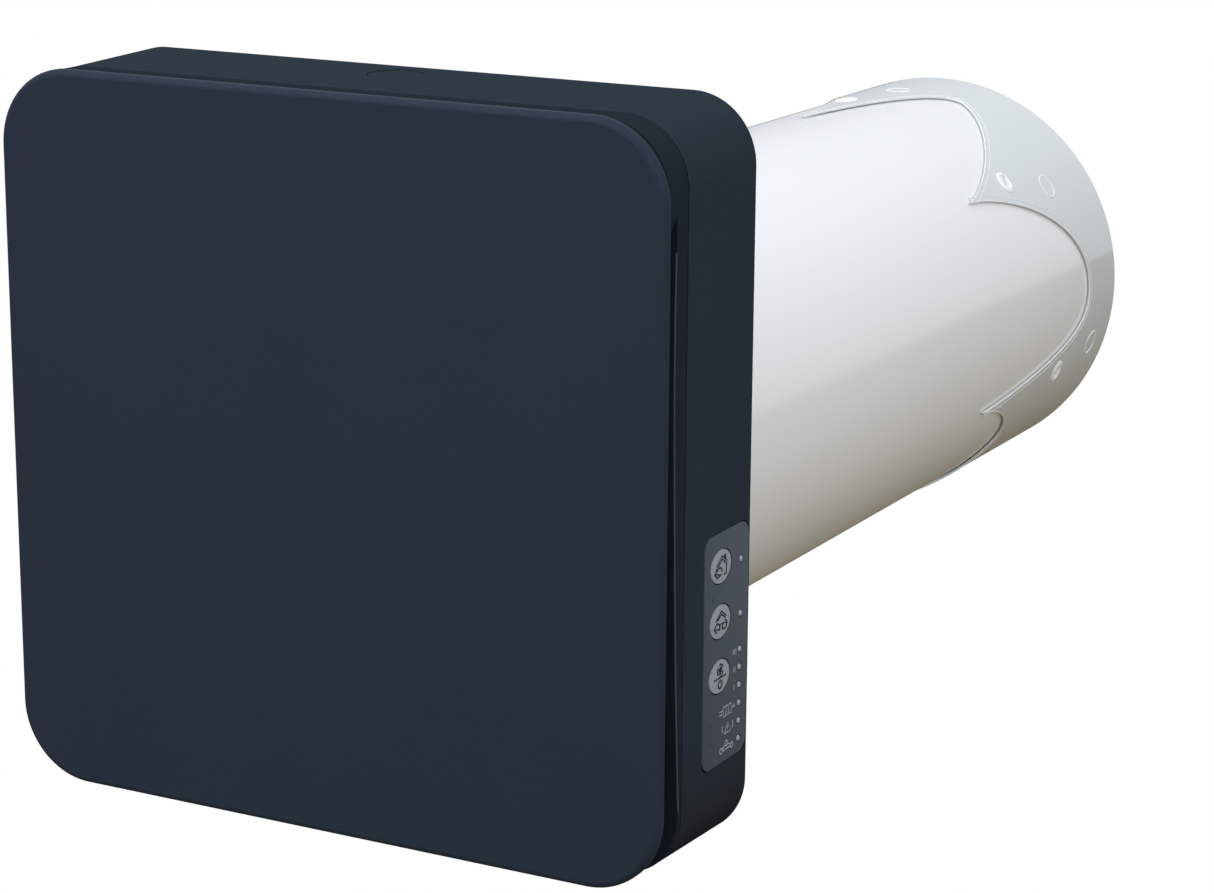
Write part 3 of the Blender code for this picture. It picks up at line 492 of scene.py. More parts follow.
strapWeb = makeFinish("strapWeb", (0.020, 0.020, 0.022), 0.85, grain=1300, depth=1.0, drift=0.5)
zinc = makeFinish("zincSteel", (0.62, 0.62, 0.63), 0.32, grain=500, depth=0.15, drift=0.15, metal=1.0)
copper = makeFinish("copperWinding", (0.70, 0.34, 0.20), 0.35, grain=1500, depth=0.6, drift=0.3, metal=1.0)
boardMask = makeFinish("boardMask", (0.010, 0.090, 0.045), 0.35, grain=700, depth=0.10, drift=0.2)
print("finishes made")


# front cover
def makeCover():
    cover = {"thick": 0.0037, "corner": 0.0232, "rim": 0.0021, "backRim": 0.0005, "recess": 0.0007, "border": 0.0045,
             "pegs": (0.070, 0.085), "ribReach": 0.062, "ribHalf": 0.0006}
    wide, high = panelHigh.x - panelLow.x, panelHigh.z - panelLow.z
    front, back = panelLow.y, panelLow.y + cover["thick"]
    rims = (cover["rim"], cover["backRim"])
    piece = addRoundedBlock("coverPanel", wide, high, cover["corner"], front, back, 24, rims, 6)
    pickFaces(piece, lambda c, n: n.y > 0.9 and abs(c.x) < 0.02 and abs(c.z - rise) < 0.02)
    bpy.ops.mesh.inset(thickness=cover["border"], depth=0)
    bpy.ops.mesh.inset(thickness=0.0004, depth=-cover["recess"])
    closeEdit()
    finishPiece(piece, "cover", satin, ["front_panel"], angle=40)
    pegs = []
    across, up = cover["pegs"]
    for x in (-across, across):
        for z in (rise - up, rise + up):
            profile = [(0, back - 0.0005), (0.0045, back - 0.0005), (0.0045, back + 0.0012), (0.0026, back + 0.0022),
                       (0.0026, -0.0436), (0.0021, -0.0430), (0.0021, -0.0424), (0.0026, -0.0418), (0.0022, -0.0400),
                       (0, -0.0400)]
            pegs.append(spinProfile("peg", profile, "Y", (x, z), 24, closed=False))
    reach, half = cover["ribReach"], cover["ribHalf"]
    ribs = [addBlock("rib", (-reach, reach), (back - 0.0012, back - 0.0001), (z - half, z + half))
            for z in (rise - up, rise + up)]
    for rib in ribs:
        roundEdges(rib, lambda a, b: a.y > back - 0.0003 and b.y > back - 0.0003, 0.0003, 2)
    finishPiece(gather("coverPegs", pegs + ribs), "cover", blackPlastic)


makeCover()
print("cover made")


# casing and front frame
casingHalf = (frameHigh.x, frameHigh.z - rise)  # half the shell's outline where it meets the frame
casingCorner = 0.0195


def casingBlock(name, inset, front, back, rims=(0, 0), rimSteps=3, steps=20):
    wide, high = 2 * (casingHalf[0] - inset), 2 * (casingHalf[1] - inset)
    return addRoundedBlock(name, wide, high, casingCorner - inset, front, back, steps, rims, rimSteps)


keyOval = (1, 1.14, 0.88)  # the keys are a little wider than tall


def keyHole(centre):
    hole = addRod("tool", 0.0059, 0.100, 0.120, "X", (centre.y, centre.z), 64)
    return stretchPiece(hole, centre, keyOval)


def makeCasing():
    shell = {"wall": 0.0025, "frontRim": 0.0003, "backRim": 0.0009, "web": (-0.0120, -0.0095), "bore": 0.0718,
             "filmCorner": 0.0045, "lightPlay": 0.0005, "buttonHole": 0.0081, "buttonAt": (0, -0.0140)}
    piece = casingBlock("casingShell", 0, casingLow.y, casingHigh.y)
    pickFaces(piece, lambda c, n: n.y > 0.9)  # the shell flares towards the wall
    bpy.ops.transform.resize(value=(casingHigh.x / casingHalf[0], 1, (casingHigh.z - rise) / casingHalf[1]),
                             center_override=(0, casingHigh.y, rise))
    closeEdit()
    for depth, width in ((casingLow.y, shell["frontRim"]), (casingHigh.y, shell["backRim"])):
        roundEdges(piece, lambda a, b: abs(a.y - depth) < 1e-5 and abs(b.y - depth) < 1e-5, width, 4)
    cutAway(piece, casingBlock("tool", shell["wall"], casingLow.y - 0.01, shell["web"][0]))
    cutAway(piece, casingBlock("tool", shell["wall"], shell["web"][1], 0.01))
    cutAway(piece, addRod("tool", shell["bore"], -0.03, 0.02, steps=96))
    webTools = [((0.0925, 0.1052), (-0.066, 0.008)), ((0.043, 0.073), (0.083, 0.103)),
                ((-0.013, 0.013), (0.0955, 0.1195))]  # for the control board, the connector and the latch
    for x, z in webTools:
        tool = addBlock("tool", x, (shell["web"][0] - 0.002, shell["web"][1] + 0.002), z)
        roundEdges(tool, lambda a, b: abs(a.y - b.y) > 1e-4, 0.0015, 4)
        cutAway(piece, tool)
    recess = addBlock("tool", (overlayLow.x - gap, 0.12), (overlayLow.y - gap, overlayHigh.y + gap),
                      (overlayLow.z - gap, overlayHigh.z + gap))
    roundEdges(recess, lambda a, b: abs(a.x - b.x) > 1e-4, shell["filmCorner"], 10)
    cutAway(piece, recess)
    for name in ("supply_key", "recovery_key", "speed_key"):
        low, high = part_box(name)
        cutAway(piece, keyHole((low + high) / 2))
    low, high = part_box("led_light_bar")
    play = shell["lightPlay"]
    cutAway(piece, addBlock("tool", (0.100, 0.115), (low.y + play, high.y - play), (low.z + play, high.z - play)))
    low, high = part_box("release_button")
    cutAway(piece, addRod("tool", shell["buttonHole"], high.z - 0.008, high.z + 0.01, "Z", shell["buttonAt"], 64))
    finishPiece(piece, "head", satinSide, ["casing"], angle=30)


# the side slots widen downwards: height over the head's centre, and the rim's front there
slotEdge = [(0.0800, -0.0479), (0.0550, -0.0484), (0.0350, -0.0484), (0.0080, -0.0477), (-0.0240, -0.0466),
            (-0.0530, -0.0452), (-0.0760, -0.0438), (-0.0860, -0.0430), (-0.1300, -0.0428)]


def slotEdgeAt(height):  # where the rim's front stands at this height over the head's centre
    for (z1, y1), (z0, y0) in zip(slotEdge, slotEdge[1:]):
        if height >= z0:
            return y0 + (y1 - y0) * min(1, (height - z0) / (z1 - z0))
    return slotEdge[-1][1]


def outlineGap(point):  # how far inside the shell's outline a point lies
    x, z = abs(point.x) - casingHalf[0] + casingCorner, abs(point.z - rise) - casingHalf[1] + casingCorner
    if x > 0 and z > 0:
        return casingCorner - math.hypot(x, z)
    return casingCorner - max(x, z)


def makeFrontFrame():
    rim = {"back": -0.0414, "wall": 0.0055, "web": (-0.0380, -0.0360), "lip": 0.0028, "scoop": (0.1085, 0.0034, 0.0120),
           "scoopTop": 0.0845, "edge": 0.00045, "notches": (-0.09, 0.09), "notchHalf": 0.0075,
           "bosses": (-0.083, -0.020, 0.060), "bossRadius": 0.0028, "bossHeight": 0.1075}
    piece = casingBlock("frameRim", 0, frameLow.y, rim["back"], (0, 0.0003), 3)
    weldOn(piece, casingBlock("lip", rim["lip"], rim["back"] - 0.001, rim["web"][1]))
    cutAway(piece, casingBlock("tool", rim["wall"], -0.07, rim["web"][0]))
    cutAway(piece, addRod("tool", 0.066, -0.05, -0.03, steps=96))
    heights = [0.0735, 0.0670, 0.0600, 0.0500, 0.0400, 0.0300, 0.0180, 0.0050, -0.0080, -0.0220, -0.0350, -0.0470,
               -0.0580, -0.0680, -0.0760, -0.0820, -0.0880, -0.1300]
    slope = [(slotEdgeAt(height), rise + height) for height in heights]
    cutAway(piece, addPrism("tool", [(-0.07, slope[0][1])] + slope + [(-0.07, slope[-1][1])], -0.12, 0.12, "X"))
    (out, depth, tall), top = rim["scoop"], rise + rim["scoopTop"]
    for side in (-1, 1):  # the neck dips into the slot's upper end
        ramp = [(side * (out - depth * (1 - math.cos(math.pi * k / 12)) / 2), top - tall * k / 12) for k in range(13)]
        ends = [(side * 0.12, ramp[-1][1]), (side * 0.12, ramp[0][1])]
        cutAway(piece, addPrism("tool", ramp + ends, -0.07, slotEdge[0][1]))
    roundEdges(piece, lambda a, b: all(outlineGap(v) < 2e-5 and abs(v.y - slotEdgeAt(v.z - rise)) < 2e-5
                                       and v.z < rise + 0.0730 for v in (a, b)), rim["edge"], 3)
    half = rim["notchHalf"]
    for x in rim["notches"]:
        cutAway(piece, addBlock("tool", (x - half, x + half), (-0.045, -0.030), (rise - 0.0900, rise - 0.0650)))
    for x in rim["bosses"]:
        weldOn(piece, addRod("boss", rim["bossRadius"], rim["web"][1] - 0.001, -0.0323,
                             centre=(x, rim["bossHeight"]), steps=24))
    finishPiece(piece, "head", satinGrainy, ["front_frame"], angle=30)


def makeSeam():  # painted shade: a near-black line standing in for the shadow in the seam groove between the rim and the shell
    seam = {"radius": 0.00024, "inset": 0.00040, "steps": 16}
    wide, high, corner = (size - seam["inset"] for size in (*casingHalf, casingCorner))
    points = []
    for quarter, (x, z) in enumerate(((1, 1), (-1, 1), (-1, -1), (1, -1))):
        for k in range(seam["steps"] + 1):
            turn = math.radians(90 * quarter + 90 * k / seam["steps"])
            points.append((x * (wide - corner) + corner * math.cos(turn), casingLow.y - 0.00025,
                           rise + z * (high - corner) + corner * math.sin(turn)))
    shadowLine = wireAlong("seamGasket", points, seam["radius"], cyclic=True, sides=2)
    finishPiece(shadowLine, "head", seamShadowPaint)


def makeRimHighlight():  # painted highlight: a pale line on the rim's front edge along both side slots, standing in for the light that edge catches
    edge = {"radius": 0.00028, "top": 0.0725, "foot": -0.0860, "steps": 48}
    lines = []
    for side in (-1, 1):
        heights = [edge["top"] + (edge["foot"] - edge["top"]) * k / edge["steps"] for k in range(edge["steps"] + 1)]
        points = [(side * (casingHalf[0] - 0.00025), slotEdgeAt(height) + 0.00025, rise + height) for height in heights]
        lines.append(wireAlong("edge", points, edge["radius"], sides=2))
    finishPiece(gather("rimEdge", lines), "head", paintedRimHighlight)


makeCasing()
makeFrontFrame()
makeSeam()
makeRimHighlight()
print("casing and frame made")


# duct and its collar
# each tine's angle and how far along the duct its tip stands, then the round head after it:
# angle and reach of its peak, bow and fullness before and after the peak
collarTines = [(-21, 0.272), (39, 0.281), (94, 0.271), (154, 0.275), (219, 0.275), (279, 0.272), (339, 0.272)]
collarHeads = [(4, 0.3655, (3.00, 0.80), (2.00, 0.65)), (73, 0.3589, (1.35, 0.75), (2.00, 0.90)),
               (124, 0.3620, (2.20, 0.70), (2.20, 0.70)), (186, 0.3640, (2.20, 0.70), (2.20, 0.70)),
               (249, 0.3550, (2.20, 0.70), (2.20, 0.70)), (320, 0.3140, (2.20, 0.70), (2.00, 0.65))]
collarScrews = [(-20, 0.3446), (41, 0.3195), (97, 0.3225), (154, 0.333), (219, 0.333), (279, 0.333)]
collarRivets = [(-15.5, 0.3758), (35.4, 0.3515), (91.4, 0.3540), (154, 0.3635), (219, 0.3635), (279, 0.3635)]


def lobeEdge(degrees):  # how far along the duct the collar's edge stands
    first = collarTines[0][0]
    turned = (degrees - first) % 360 + first
    for before, after, (peak, reach, rising, falling) in zip(collarTines, collarTines[1:], collarHeads):
        if turned < after[0]:
            break
    (foot, tip), (bow, fullness) = (before, rising) if turned < peak else (after, falling)
    across = min(1, (peak - turned) / (peak - foot))
    return tip + (reach - tip) * (1 - across ** bow) ** fullness


def makeDuct():
    duct = {"outer": 0.0744, "inner": 0.0714, "round": 0.0006}
    o, i, r = duct["outer"], duct["inner"], duct["round"]
    low, high = ductLow.y, ductHigh.y
    profile = [(i + r, low), (o - r, low), (o, low + r)]
    profile += [(o, low + (high - low) * k / 8) for k in range(1, 8)]
    profile += [(o, high - r), (o - r * 0.3, high - r * 0.3), (o - r, high), (i + r, high), (i, high - r)]
    profile += [(i, low + (high - low) * k / 4) for k in (3, 2, 1)] + [(i, low + r)]
    piece = spinProfile("ductTube", profile, steps=180)
    finishPiece(piece, "wall_side", ductGloss, ["duct_tube"], angle=30)


def makeCollar():
    skin = {"inner": 0.0747, "outer": 0.0754, "length": 0.10, "columns": 360, "bead": 0.00020, "second": 0.0020}
    dropAll()
    bpy.ops.mesh.primitive_cylinder_add(
        vertices=skin["columns"], radius=skin["outer"], depth=skin["length"], end_fill_type="NOTHING",
        location=(0, collarHigh.y - skin["length"] / 2, 0), rotation=turns["Y"])
    piece = settle(named("endCollar"))
    pickEdges(piece, lambda a, b: abs(a.y - b.y) > 0.01)
    bpy.ops.mesh.subdivide(number_cuts=6)
    closeEdit()
    back = collarHigh.y
    for vert in piece.data.vertices:  # the front edge is drawn out into tines
        edge = lobeEdge(math.degrees(math.atan2(vert.co.z, vert.co.x)))
        share = (back - vert.co.y) / skin["length"]
        vert.co.y = back - (back - edge) * share
    cleanUp(piece)
    workOn(piece, "SOLIDIFY", thickness=skin["outer"] - skin["inner"], offset=-1.0)
    finishPiece(piece, "wall_side", collarGloss, ["end_collar"], angle=30, weighted=False)
    beads = []
    for offset, size in ((0.0, skin["bead"]), (skin["second"], skin["bead"] * 0.6)):
        line = []
        for k in range(skin["columns"] * 2):
            degrees = collarTines[0][0] + k * 180 / skin["columns"]
            here, ahead = lobeEdge(degrees - 0.05), lobeEdge(degrees + 0.05)
            along = skin["outer"] * math.radians(0.1)
            lean = Vector((-(ahead - here), along)).normalized()  # square to the edge, towards the end
            angle = math.radians(degrees) + lean.x * offset / skin["outer"]
            y = (here + ahead) / 2 + lean.y * offset
            line.append((skin["outer"] * math.cos(angle), y, skin["outer"] * math.sin(angle)))
        beads.append(wireAlong("bead", line, size, cyclic=True, sides=1))
    finishPiece(gather("collarBead", beads), "wall_side", beadGloss, angle=60, weighted=False)


def makeCollarScrews():
    head = {"radius": 0.0045, "inside": 0.0746, "top": 0.0761, "slot": (0.0026, 0.0010), "turn": 55, "rivet": 0.0050}
    r, low, top = head["radius"], head["inside"], head["top"]
    rivetRims = []
    for k, (degrees, y) in enumerate(collarScrews):
        screw = spinProfile(f"collarScrew{k + 1}", [
            (0, low), (r * 0.9, low), (r, low + 0.0004), (r, top - 0.0006), (r * 0.86, top - 0.0002),
            (r * 0.66, top - 0.0002), (r * 0.60, top - 0.0005), (0, top - 0.0005)], "X", (y, 0), 40, closed=False)
        long, wide = head["slot"]
        slot = addBlock("tool", (top - 0.0012, top + 0.001), (y - long, y + long), (-wide, wide))
        roundEdges(slot, lambda a, b: abs(a.x - b.x) > 1e-4, wide * 0.9, 4)
        slot.data.transform(Matrix.Translation((0, y, 0)) @ Matrix.Rotation(math.radians(head["turn"]), 4, "X")
                            @ Matrix.Translation((0, -y, 0)))
        cutAway(screw, slot)
        screw.data.transform(aboutDuct(degrees))
        finishPiece(screw, "wall_side", beadGloss, [f"collar_screw_{k + 1}"])
    for degrees, y in collarRivets:
        size = head["rivet"]
        rim = spinProfile("rivet", [
            (0, top - 0.0010), (size * 0.82, top - 0.0010), (size * 0.86, top - 0.0006), (size * 0.95, top - 0.0006),
            (size, top - 0.0010), (size, low + 0.0004), (0, low + 0.0004)], "X", (y, 0), 40, closed=False)
        rim.data.transform(aboutDuct(degrees))
        rivetRims.append(rim)
    finishPiece(gather("collarRivets", rivetRims), "wall_side", beadGloss)


makeDuct()
makeCollar()
makeCollarScrews()
print("duct made")


# controls on the side
def makeOverlay():
    film = {"corner": 0.0046, "rim": 0.0002, "lightHole": 0.0012}
    low, high = overlayLow, overlayHigh
    piece = addBlock("controlOverlay", (low.x, high.x), (low.y, high.y), (low.z, high.z))
    roundEdges(piece, lambda a, b: abs(a.x - b.x) > 1e-5, film["corner"], 10)
    roundEdges(piece, lambda a, b: a.x > high.x - 1e-6 and b.x > high.x - 1e-6, film["rim"], 2)
    for name in ("supply_key", "recovery_key", "speed_key"):
        lo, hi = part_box(name)
        cutAway(piece, keyHole((lo + hi) / 2))
    for z in lightHeights():
        cutAway(piece, addRod("tool", film["lightHole"], 0.10, 0.12, "X", (lightY, z), 24))
    finishPiece(piece, "head", overlayFilm, ["control_overlay"], angle=30)


lightY = -0.0065  # how deep the row of lights stands


def lightHeights():
    return [rise - 0.0219, rise - 0.0380] + [rise - 0.0486 - 0.00536 * k for k in range(6)]


def makeKeys():
    key = {"radius": 0.0056, "flange": 0.0068, "crown": 0.00015, "face": 0.1087}
    r, face = key["radius"], key["face"]
    bodies = {"supply_key": "supply_button", "recovery_key": "recovery_button", "speed_key": "speed_button"}
    for name, body in bodies.items():
        low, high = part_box(name)
        centre = ((low.y + high.y) / 2, (low.z + high.z) / 2)
        profile = [(0, low.x), (key["flange"], low.x), (key["flange"], low.x + 0.0014), (r, low.x + 0.0014),
                   (r, face - 0.0004), (r - 0.0002, face - 0.0001), (r - 0.0006, face - 0.0001),
                   (r * 0.5, face + key["crown"] * 0.4), (0, face + key["crown"] * 0.5)]
        piece = spinProfile(name.replace("_k", "K"), profile, "X", centre, 72, closed=False)
        stretchPiece(piece, (low + high) / 2, keyOval)
        finishPiece(piece, body, keyFilm, [name])


def makeLights():
    lights = {"thick": 0.0024, "corner": 0.0008, "lens": 0.0009}
    low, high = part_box("led_light_bar")
    bar = addBlock("lightBar", (low.x, low.x + lights["thick"]), (low.y, high.y), (low.z, high.z))
    roundEdges(bar, lambda a, b: abs(a.x - b.x) > 1e-5, lights["corner"], 3)
    r = lights["lens"]
    for z in lightHeights():
        profile = [(0, 0.1040), (r, 0.1040), (r, 0.1085), (0.0006, 0.1088), (0, 0.10885)]
        weldOn(bar, spinProfile("lens", profile, "X", (lightY, z), 24, closed=False))
    finishPiece(bar, "head", lightLens, ["led_light_bar"])


# printed signs: their points are in mm, along the wall's depth and up, from the sign's centre
def printSign(name, lines, centre, face, thick, body, ink, size=1.0):
    strokes = []
    for line in lines:
        points = [(face, centre[0] + size * u / 1000, centre[1] + size * v / 1000) for u, v in line]
        strokes.append(wireAlong("stroke", points, thick, sides=1, flat=face))
    finishPiece(gather(name, strokes), body, ink)


def arc(centre, radius, start, end, steps=10):
    angles = [math.radians(start + (end - start) * k / steps) for k in range(steps + 1)]
    return [(centre[0] + radius * math.cos(angle), centre[1] + radius * math.sin(angle)) for angle in angles]


def ring(centre, radius, steps=16):
    return arc(centre, radius, 0, 360, steps)


roof = [(-3.5, 0.7), (0.2, 3.3), (3.3, 1.1)]
house = [(-2.6, 0.3), (0.2, 2.3), (3.0, 0.4), (3.0, -2.6), (1.4, -2.6)]
chimney = [(1.7, 2.3), (1.7, 3.2), (2.4, 3.2), (2.4, 1.8)]
arrowIn = [arc((-1.6, -1.9), 1.9, 10, 150), [(-1.6, -2.1), (-4.5, -1.2), (-3.2, 0.2)],
           [(-4.5, -1.2), (-3.0, -2.9), (-0.4, -2.2)]]
eaves = [(-2.2, 0.9), (0.2, 2.3), (2.7, 0.7)]
door = [(-0.8, -2.6), (-0.8, -0.6), (0.9, -0.6), (0.9, -2.6)]
arrowsRound = [
    arc((-2.5, -1.6), 1.6, 0, 150), [(-1.2, -2.0), (-4.3, -1.4), (-3.3, -0.1)], [(-4.3, -1.4), (-2.9, -2.8)],
    arc((2.3, -1.0), 1.6, 180, 330), [(1.0, -0.6), (4.1, -1.2), (3.1, -2.4)], [(4.1, -1.2), (2.7, 0.2)]]
hub = (0.0, 1.9)
blades = [arc(hub, 1.9, 20 + 120 * k, 100 + 120 * k, 6) + [hub] + arc(hub, 1.0, 20 + 120 * k, 60 + 120 * k, 3)
          for k in range(3)]
standby = [[(-3.9, -0.3), (3.9, -0.3)], arc((0, -2.3), 1.3, 130, 410, 14), [(0, -2.0), (0, -0.9)]]
keySigns = {
    "supply": [roof, house, chimney] + arrowIn,
    "recovery": [roof, eaves, door] + arrowsRound,
    "speed": blades + [ring(hub, 0.5, 8)] + standby,
}
# each sign's lines, the light it stands beside, and how deep it stands
lightSigns = {
    "speedThree": ([[(-0.9, -0.8), (-0.9, 0.8)], [(0, -0.8), (0, 0.8)], [(0.9, -0.8), (0.9, 0.8)]], 2, -0.0098),
    "speedTwo": ([[(-0.5, -0.8), (-0.5, 0.8)], [(0.5, -0.8), (0.5, 0.8)]], 3, -0.0098),
    "speedOne": ([[(0, -0.8), (0, 0.8)]], 4, -0.0098),
    "filterSign": ([
        [(-2.6, 1.4), (2.6, 1.4), (2.6, -1.4), (-2.6, -1.4), (-2.6, 1.4)],
        [(-1.3, -1.4), (-0.65, 1.4), (0, -1.4), (0.65, 1.4), (1.3, -1.4)], [(-4.9, 0.5), (-3.1, 0.5)],
        [(-4.9, -0.5), (-3.1, -0.5)], [(3.1, 0), (4.9, 0), (4.2, 0.6)], [(4.9, 0), (4.2, -0.6)]], 5, -0.0140),
    "alarmSign": ([
        [(-1.9, -1.4), (0, 1.6), (1.9, -1.4), (-1.9, -1.4)], [(0, -0.3), (0, 0.7)], [(0, -1.0), (0, -0.85)],
        arc((-2.0, 0.2), 1.4, 130, 230, 6), arc((2.0, 0.2), 1.4, -50, 50, 6)], 6, -0.0136),
    "linkSign": ([
        ring((-3.4, -0.6), 0.8), ring((0, 0.9), 0.8), ring((3.4, -0.6), 0.8), [(-2.7, -0.3), (-0.7, 0.6)],
        [(0.7, 0.6), (2.7, -0.3)], [(-2.6, -0.8), (2.6, -0.8)]], 7, -0.0142),
}


def makeSigns():
    sign = {"keyLine": 0.00024, "lightLine": 0.00022, "keyFace": 0.10888, "filmFace": overlayHigh.x + 0.00002,
            "keySize": 0.95, "dot": 0.00035}
    for name, lines in keySigns.items():
        low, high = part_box(f"{name}_key")
        centre = ((low.y + high.y) / 2, (low.z + high.z) / 2)
        printSign(
            f"{name}Sign", lines, centre, sign["keyFace"], sign["keyLine"], f"{name}_button", inkDark,
            sign["keySize"])
    heights = lightHeights()
    face = sign["filmFace"]
    for name, (lines, row, y) in lightSigns.items():
        printSign(name, lines, (y, heights[row]), face, sign["lightLine"], "head", inkPale)
    dots = [addRod("dot", sign["dot"], face - 0.0002, face, "X", spot, 16)
            for spot in ((-0.0243, rise - 0.0296), (-0.0247, rise - 0.0668), (-0.0247, rise - 0.0718))]
    finishPiece(gather("overlayDots", dots), "head", inkDark)


makeOverlay()
makeKeys()
makeLights()
makeSigns()
print("controls made")


# coil spring under the release button
def makeSpring():
    coil = {"turns": 4, "perTurn": 24, "wire": 0.00045, "radius": 0.0045, "foot": 0.1089, "travel": 0.0025}
    low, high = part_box("release_spring")
    start, end = low.z + coil["wire"], high.z - coil["wire"]
    count = coil["turns"] * coil["perTurn"]
    points = []
    for k in range(count + 1):
        turn, share = 2 * math.pi * k / coil["perTurn"], k / count
        climb = min(max((share - 0.12) / 0.76, 0), 1)  # the end turns lie flat
        points.append((coil["radius"] * math.cos(turn), (low.y + high.y) / 2 + coil["radius"] * math.sin(turn),
                       start + (end - start) * climb + 0.0002 * share))
    piece = wireAlong("releaseCoil", points, coil["wire"], sides=2)
    finishPiece(piece, "head", zinc, ["release_spring"], weighted=False)
    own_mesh(piece)


makeSpring()
print("spring made")


slotFinish = {  # the finish of each material slot
    "anthracite": satinSide, "overlay_grey": overlayFilm, "key_grey": keyFilm, "duct_white": ductGloss,
    "collar_white": collarGloss, "black_plastic": blackPlastic, "black_rubber": blackRubber,
    "insulation_foam": foamGrey, "filter_foam": foamDark, "ceramic": ceramicBody, "webbing": strapWeb, "steel": zinc,
    "copper": copper, "board_green": boardMask,
}
slotOf = {entry["node"]: entry["material_slot"] for entry in frame["record"]["subparts"]}
bodyOf = {node: body for body, held in frame["record"]["behaviour"]["bodies"].items() for node in held}


# inner parts keep the frame's shapes, merged and given moulded edges
def mouldedCopy(source, edge):
    dropAll()
    piece = bpy.data.objects.new(source, nodes[source].data.copy())
    bpy.context.scene.collection.objects.link(piece)
    words = source.split("_")
    piece.name = piece.data.name = words[0] + "".join(word.capitalize() for word in words[1:])
    takeUp(piece)
    bpy.ops.object.mode_set(mode="EDIT")
    bpy.ops.mesh.select_all(action="SELECT")
    bpy.ops.mesh.remove_doubles(threshold=2e-6)
    bpy.ops.mesh.dissolve_limited(angle_limit=math.radians(0.5))
    closeEdit()
    workOn(piece, "BEVEL", width=edge, segments=2, limit_method="ANGLE", angle_limit=math.radians(30),
           use_clamp_overlap=True)
    finishPiece(piece, bodyOf[source], slotFinish[slotOf[source]], [source])


mouldedEdges = {  # how wide each part's edges are rounded
    "wall_plate": 0.0004, "plate_connector": 0.0002, "head_connector": 0.0002, "latch_guide": 0.0003,
    "clip_socket_1": 0.0002, "clip_socket_2": 0.0002, "clip_socket_3": 0.0002, "clip_socket_4": 0.0002,
    "inner_filter_frame": 0.0003, "outer_filter_frame": 0.0003, "fan_housing": 0.0003, "impeller": 0.0002,
    "left_flap": 0.0003, "right_flap": 0.0003, "transformer": 0.0005, "cable_grommet": 0.0003, "fan_guard": 0.0003,
    "capacitor": 0.0004, "flap_motor_left": 0.0003, "flap_motor_right": 0.0003, "release_button": 0.0002,
    "heat_core": 0.0003, "core_wrap": 0.0005, "acoustic_foam": 0.0006, "pull_strap": 0.0002, "main_board": 0.0001,
    "control_board": 0.0001,
}
for source, edge in mouldedEdges.items():
    mouldedCopy(source, edge)
print("inner parts made")


# what is left of the frame's own nodes gets its finish
for entry in frame["record"]["subparts"]:
    cad = nodes[entry["node"]]
    if not cad.hide_render:
        cad.data.materials.clear()
        cad.data.materials.append(slotFinish[entry["material_slot"]])


# stage, light and camera
def makeStage():
    stage = {"drop": 0.42, "size": 14.0, "seen": (1.0, 1.0, 1.0), "bounce": (0.20, 0.165, 0.11)}
    dropAll()
    bpy.ops.mesh.primitive_plane_add(size=stage["size"], location=(0, 0, -stage["drop"]))
    floor = settle(named("studioFloor"))
    paint = bpy.data.materials.new("paleFloor")
    paint.use_nodes = True
    tree = paint.node_tree
    tree.nodes.clear()
    out = tree.nodes.new("ShaderNodeOutputMaterial")
    rays = tree.nodes.new("ShaderNodeLightPath")
    mix = tree.nodes.new("ShaderNodeMixShader")
    seen = node(tree, "Emission", Color=(*stage["seen"], 1), Strength=1.0)
    bounce = node(tree, "BsdfDiffuse", Color=(*stage["bounce"], 1))
    tree.links.new(rays.outputs["Is Camera Ray"], mix.inputs[0])
    tree.links.new(bounce.outputs[0], mix.inputs[1])
    tree.links.new(seen.outputs[0], mix.inputs[2])
    tree.links.new(mix.outputs[0], out.inputs[0])
    floor.data.materials.append(paint)


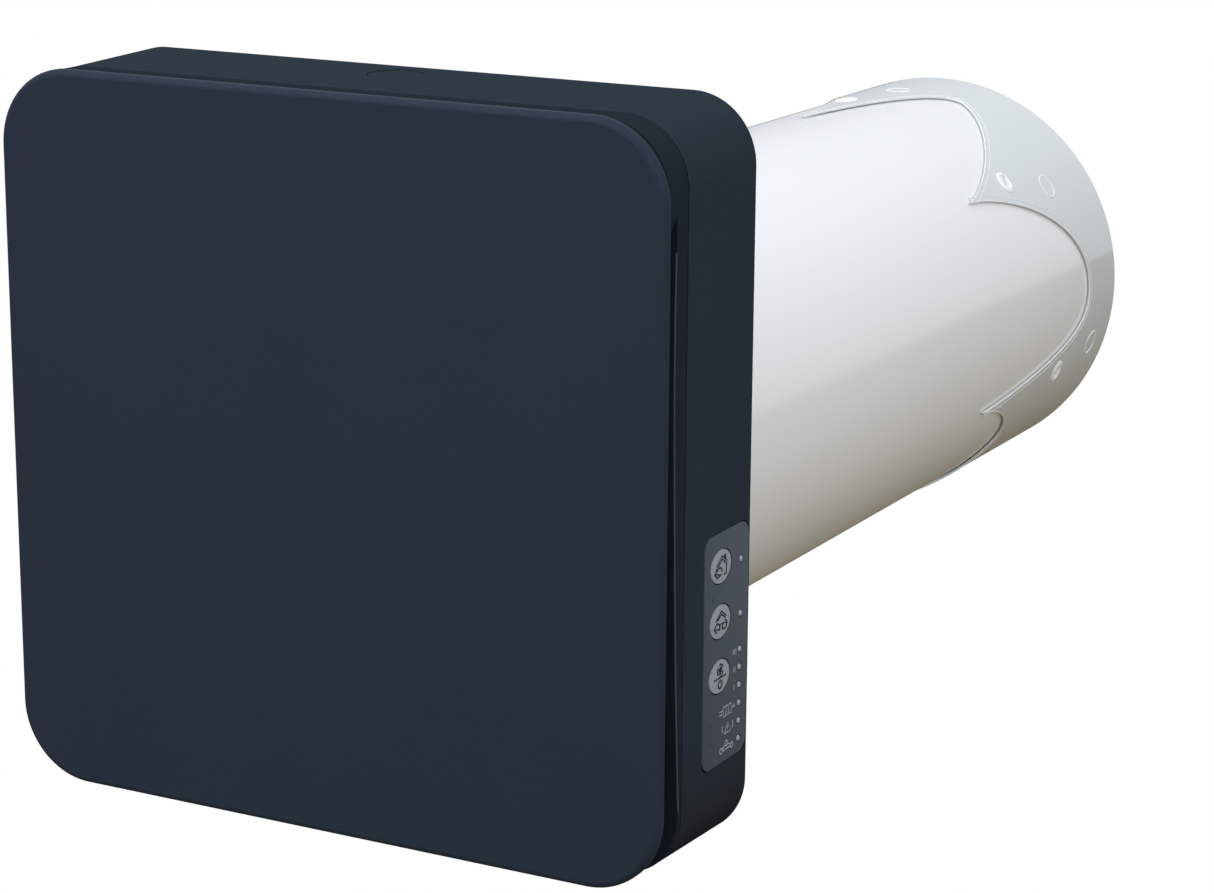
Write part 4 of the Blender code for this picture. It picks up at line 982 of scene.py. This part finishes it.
def makeLight():
    sky = {"top": (0.90, 0.94, 0.98), "low": (0.50, 0.52, 0.55), "strength": 1.0}
    world = bpy.data.worlds.new("studio")
    bpy.context.scene.world = world
    world.use_nodes = True
    tree = world.node_tree
    tree.nodes.clear()
    out = tree.nodes.new("ShaderNodeOutputWorld")
    spot = node(tree, "TexCoord")
    split = node(tree, "SeparateXYZ")
    tree.links.new(spot.outputs["Generated"], split.inputs[0])
    fade = node(tree, "MapRange")
    fade.inputs["From Min"].default_value = -0.2
    tree.links.new(split.outputs["Z"], fade.inputs["Value"])
    tint = mixColor(tree, "MIX", fade.outputs[0], (*sky["low"], 1), (*sky["top"], 1))
    rays = tree.nodes.new("ShaderNodeLightPath")
    glow = node(tree, "Background", Strength=sky["strength"])
    tree.links.new(tint, glow.inputs["Color"])
    white = node(tree, "Background", Color=(1, 1, 1, 1), Strength=1.0)
    mix = tree.nodes.new("ShaderNodeMixShader")
    tree.links.new(rays.outputs["Is Camera Ray"], mix.inputs[0])
    tree.links.new(glow.outputs[0], mix.inputs[1])
    tree.links.new(white.outputs[0], mix.inputs[2])
    tree.links.new(mix.outputs[0], out.inputs[0])
    boxes = [
        {"name": "keyBox", "place": (-0.6, -1.2, 1.4), "aim": (0.05, 0.15, 0.0), "size": 1.4, "power": 20},
        {"name": "fillBox", "place": (1.6, -0.6, 0.6), "aim": (0.05, 0.15, 0.0), "size": 1.2, "power": 9.2},
    ]
    for box in boxes:
        lamp = bpy.data.lights.new(box["name"], "AREA")
        lamp.shape, lamp.size, lamp.energy = "SQUARE", box["size"], box["power"]
        holder = bpy.data.objects.new(box["name"], lamp)
        bpy.context.scene.collection.objects.link(holder)
        holder.location = box["place"]
        holder.rotation_euler = (Vector(box["aim"]) - Vector(box["place"])).to_track_quat("-Z", "Y").to_euler()


def makeCamera():
    view = {"place": (0.49307, -0.80377, 0.23506), "azimuth": 28.21, "elevation": 14.26, "roll": 0.41, "lens": 96.82}
    eye = bpy.data.cameras.new("camera")
    eye.lens, eye.sensor_width = view["lens"], 36
    holder = bpy.data.objects.new("camera", eye)
    bpy.context.scene.collection.objects.link(holder)
    holder.location = Vector(view["place"]) + Vector((0, 0, rise))
    turn = (Matrix.Rotation(math.radians(view["azimuth"]), 3, "Z")
            @ Matrix.Rotation(math.radians(90 - view["elevation"]), 3, "X")
            @ Matrix.Rotation(math.radians(view["roll"]), 3, "Z"))
    holder.rotation_euler = turn.to_euler()
    eye.clip_start, eye.clip_end = 0.01, 100
    bpy.context.scene.camera = holder
    bpy.context.scene.view_settings.view_transform = "Standard"


makeStage()
makeLight()
makeCamera()
dropAll()
print("stage ready")
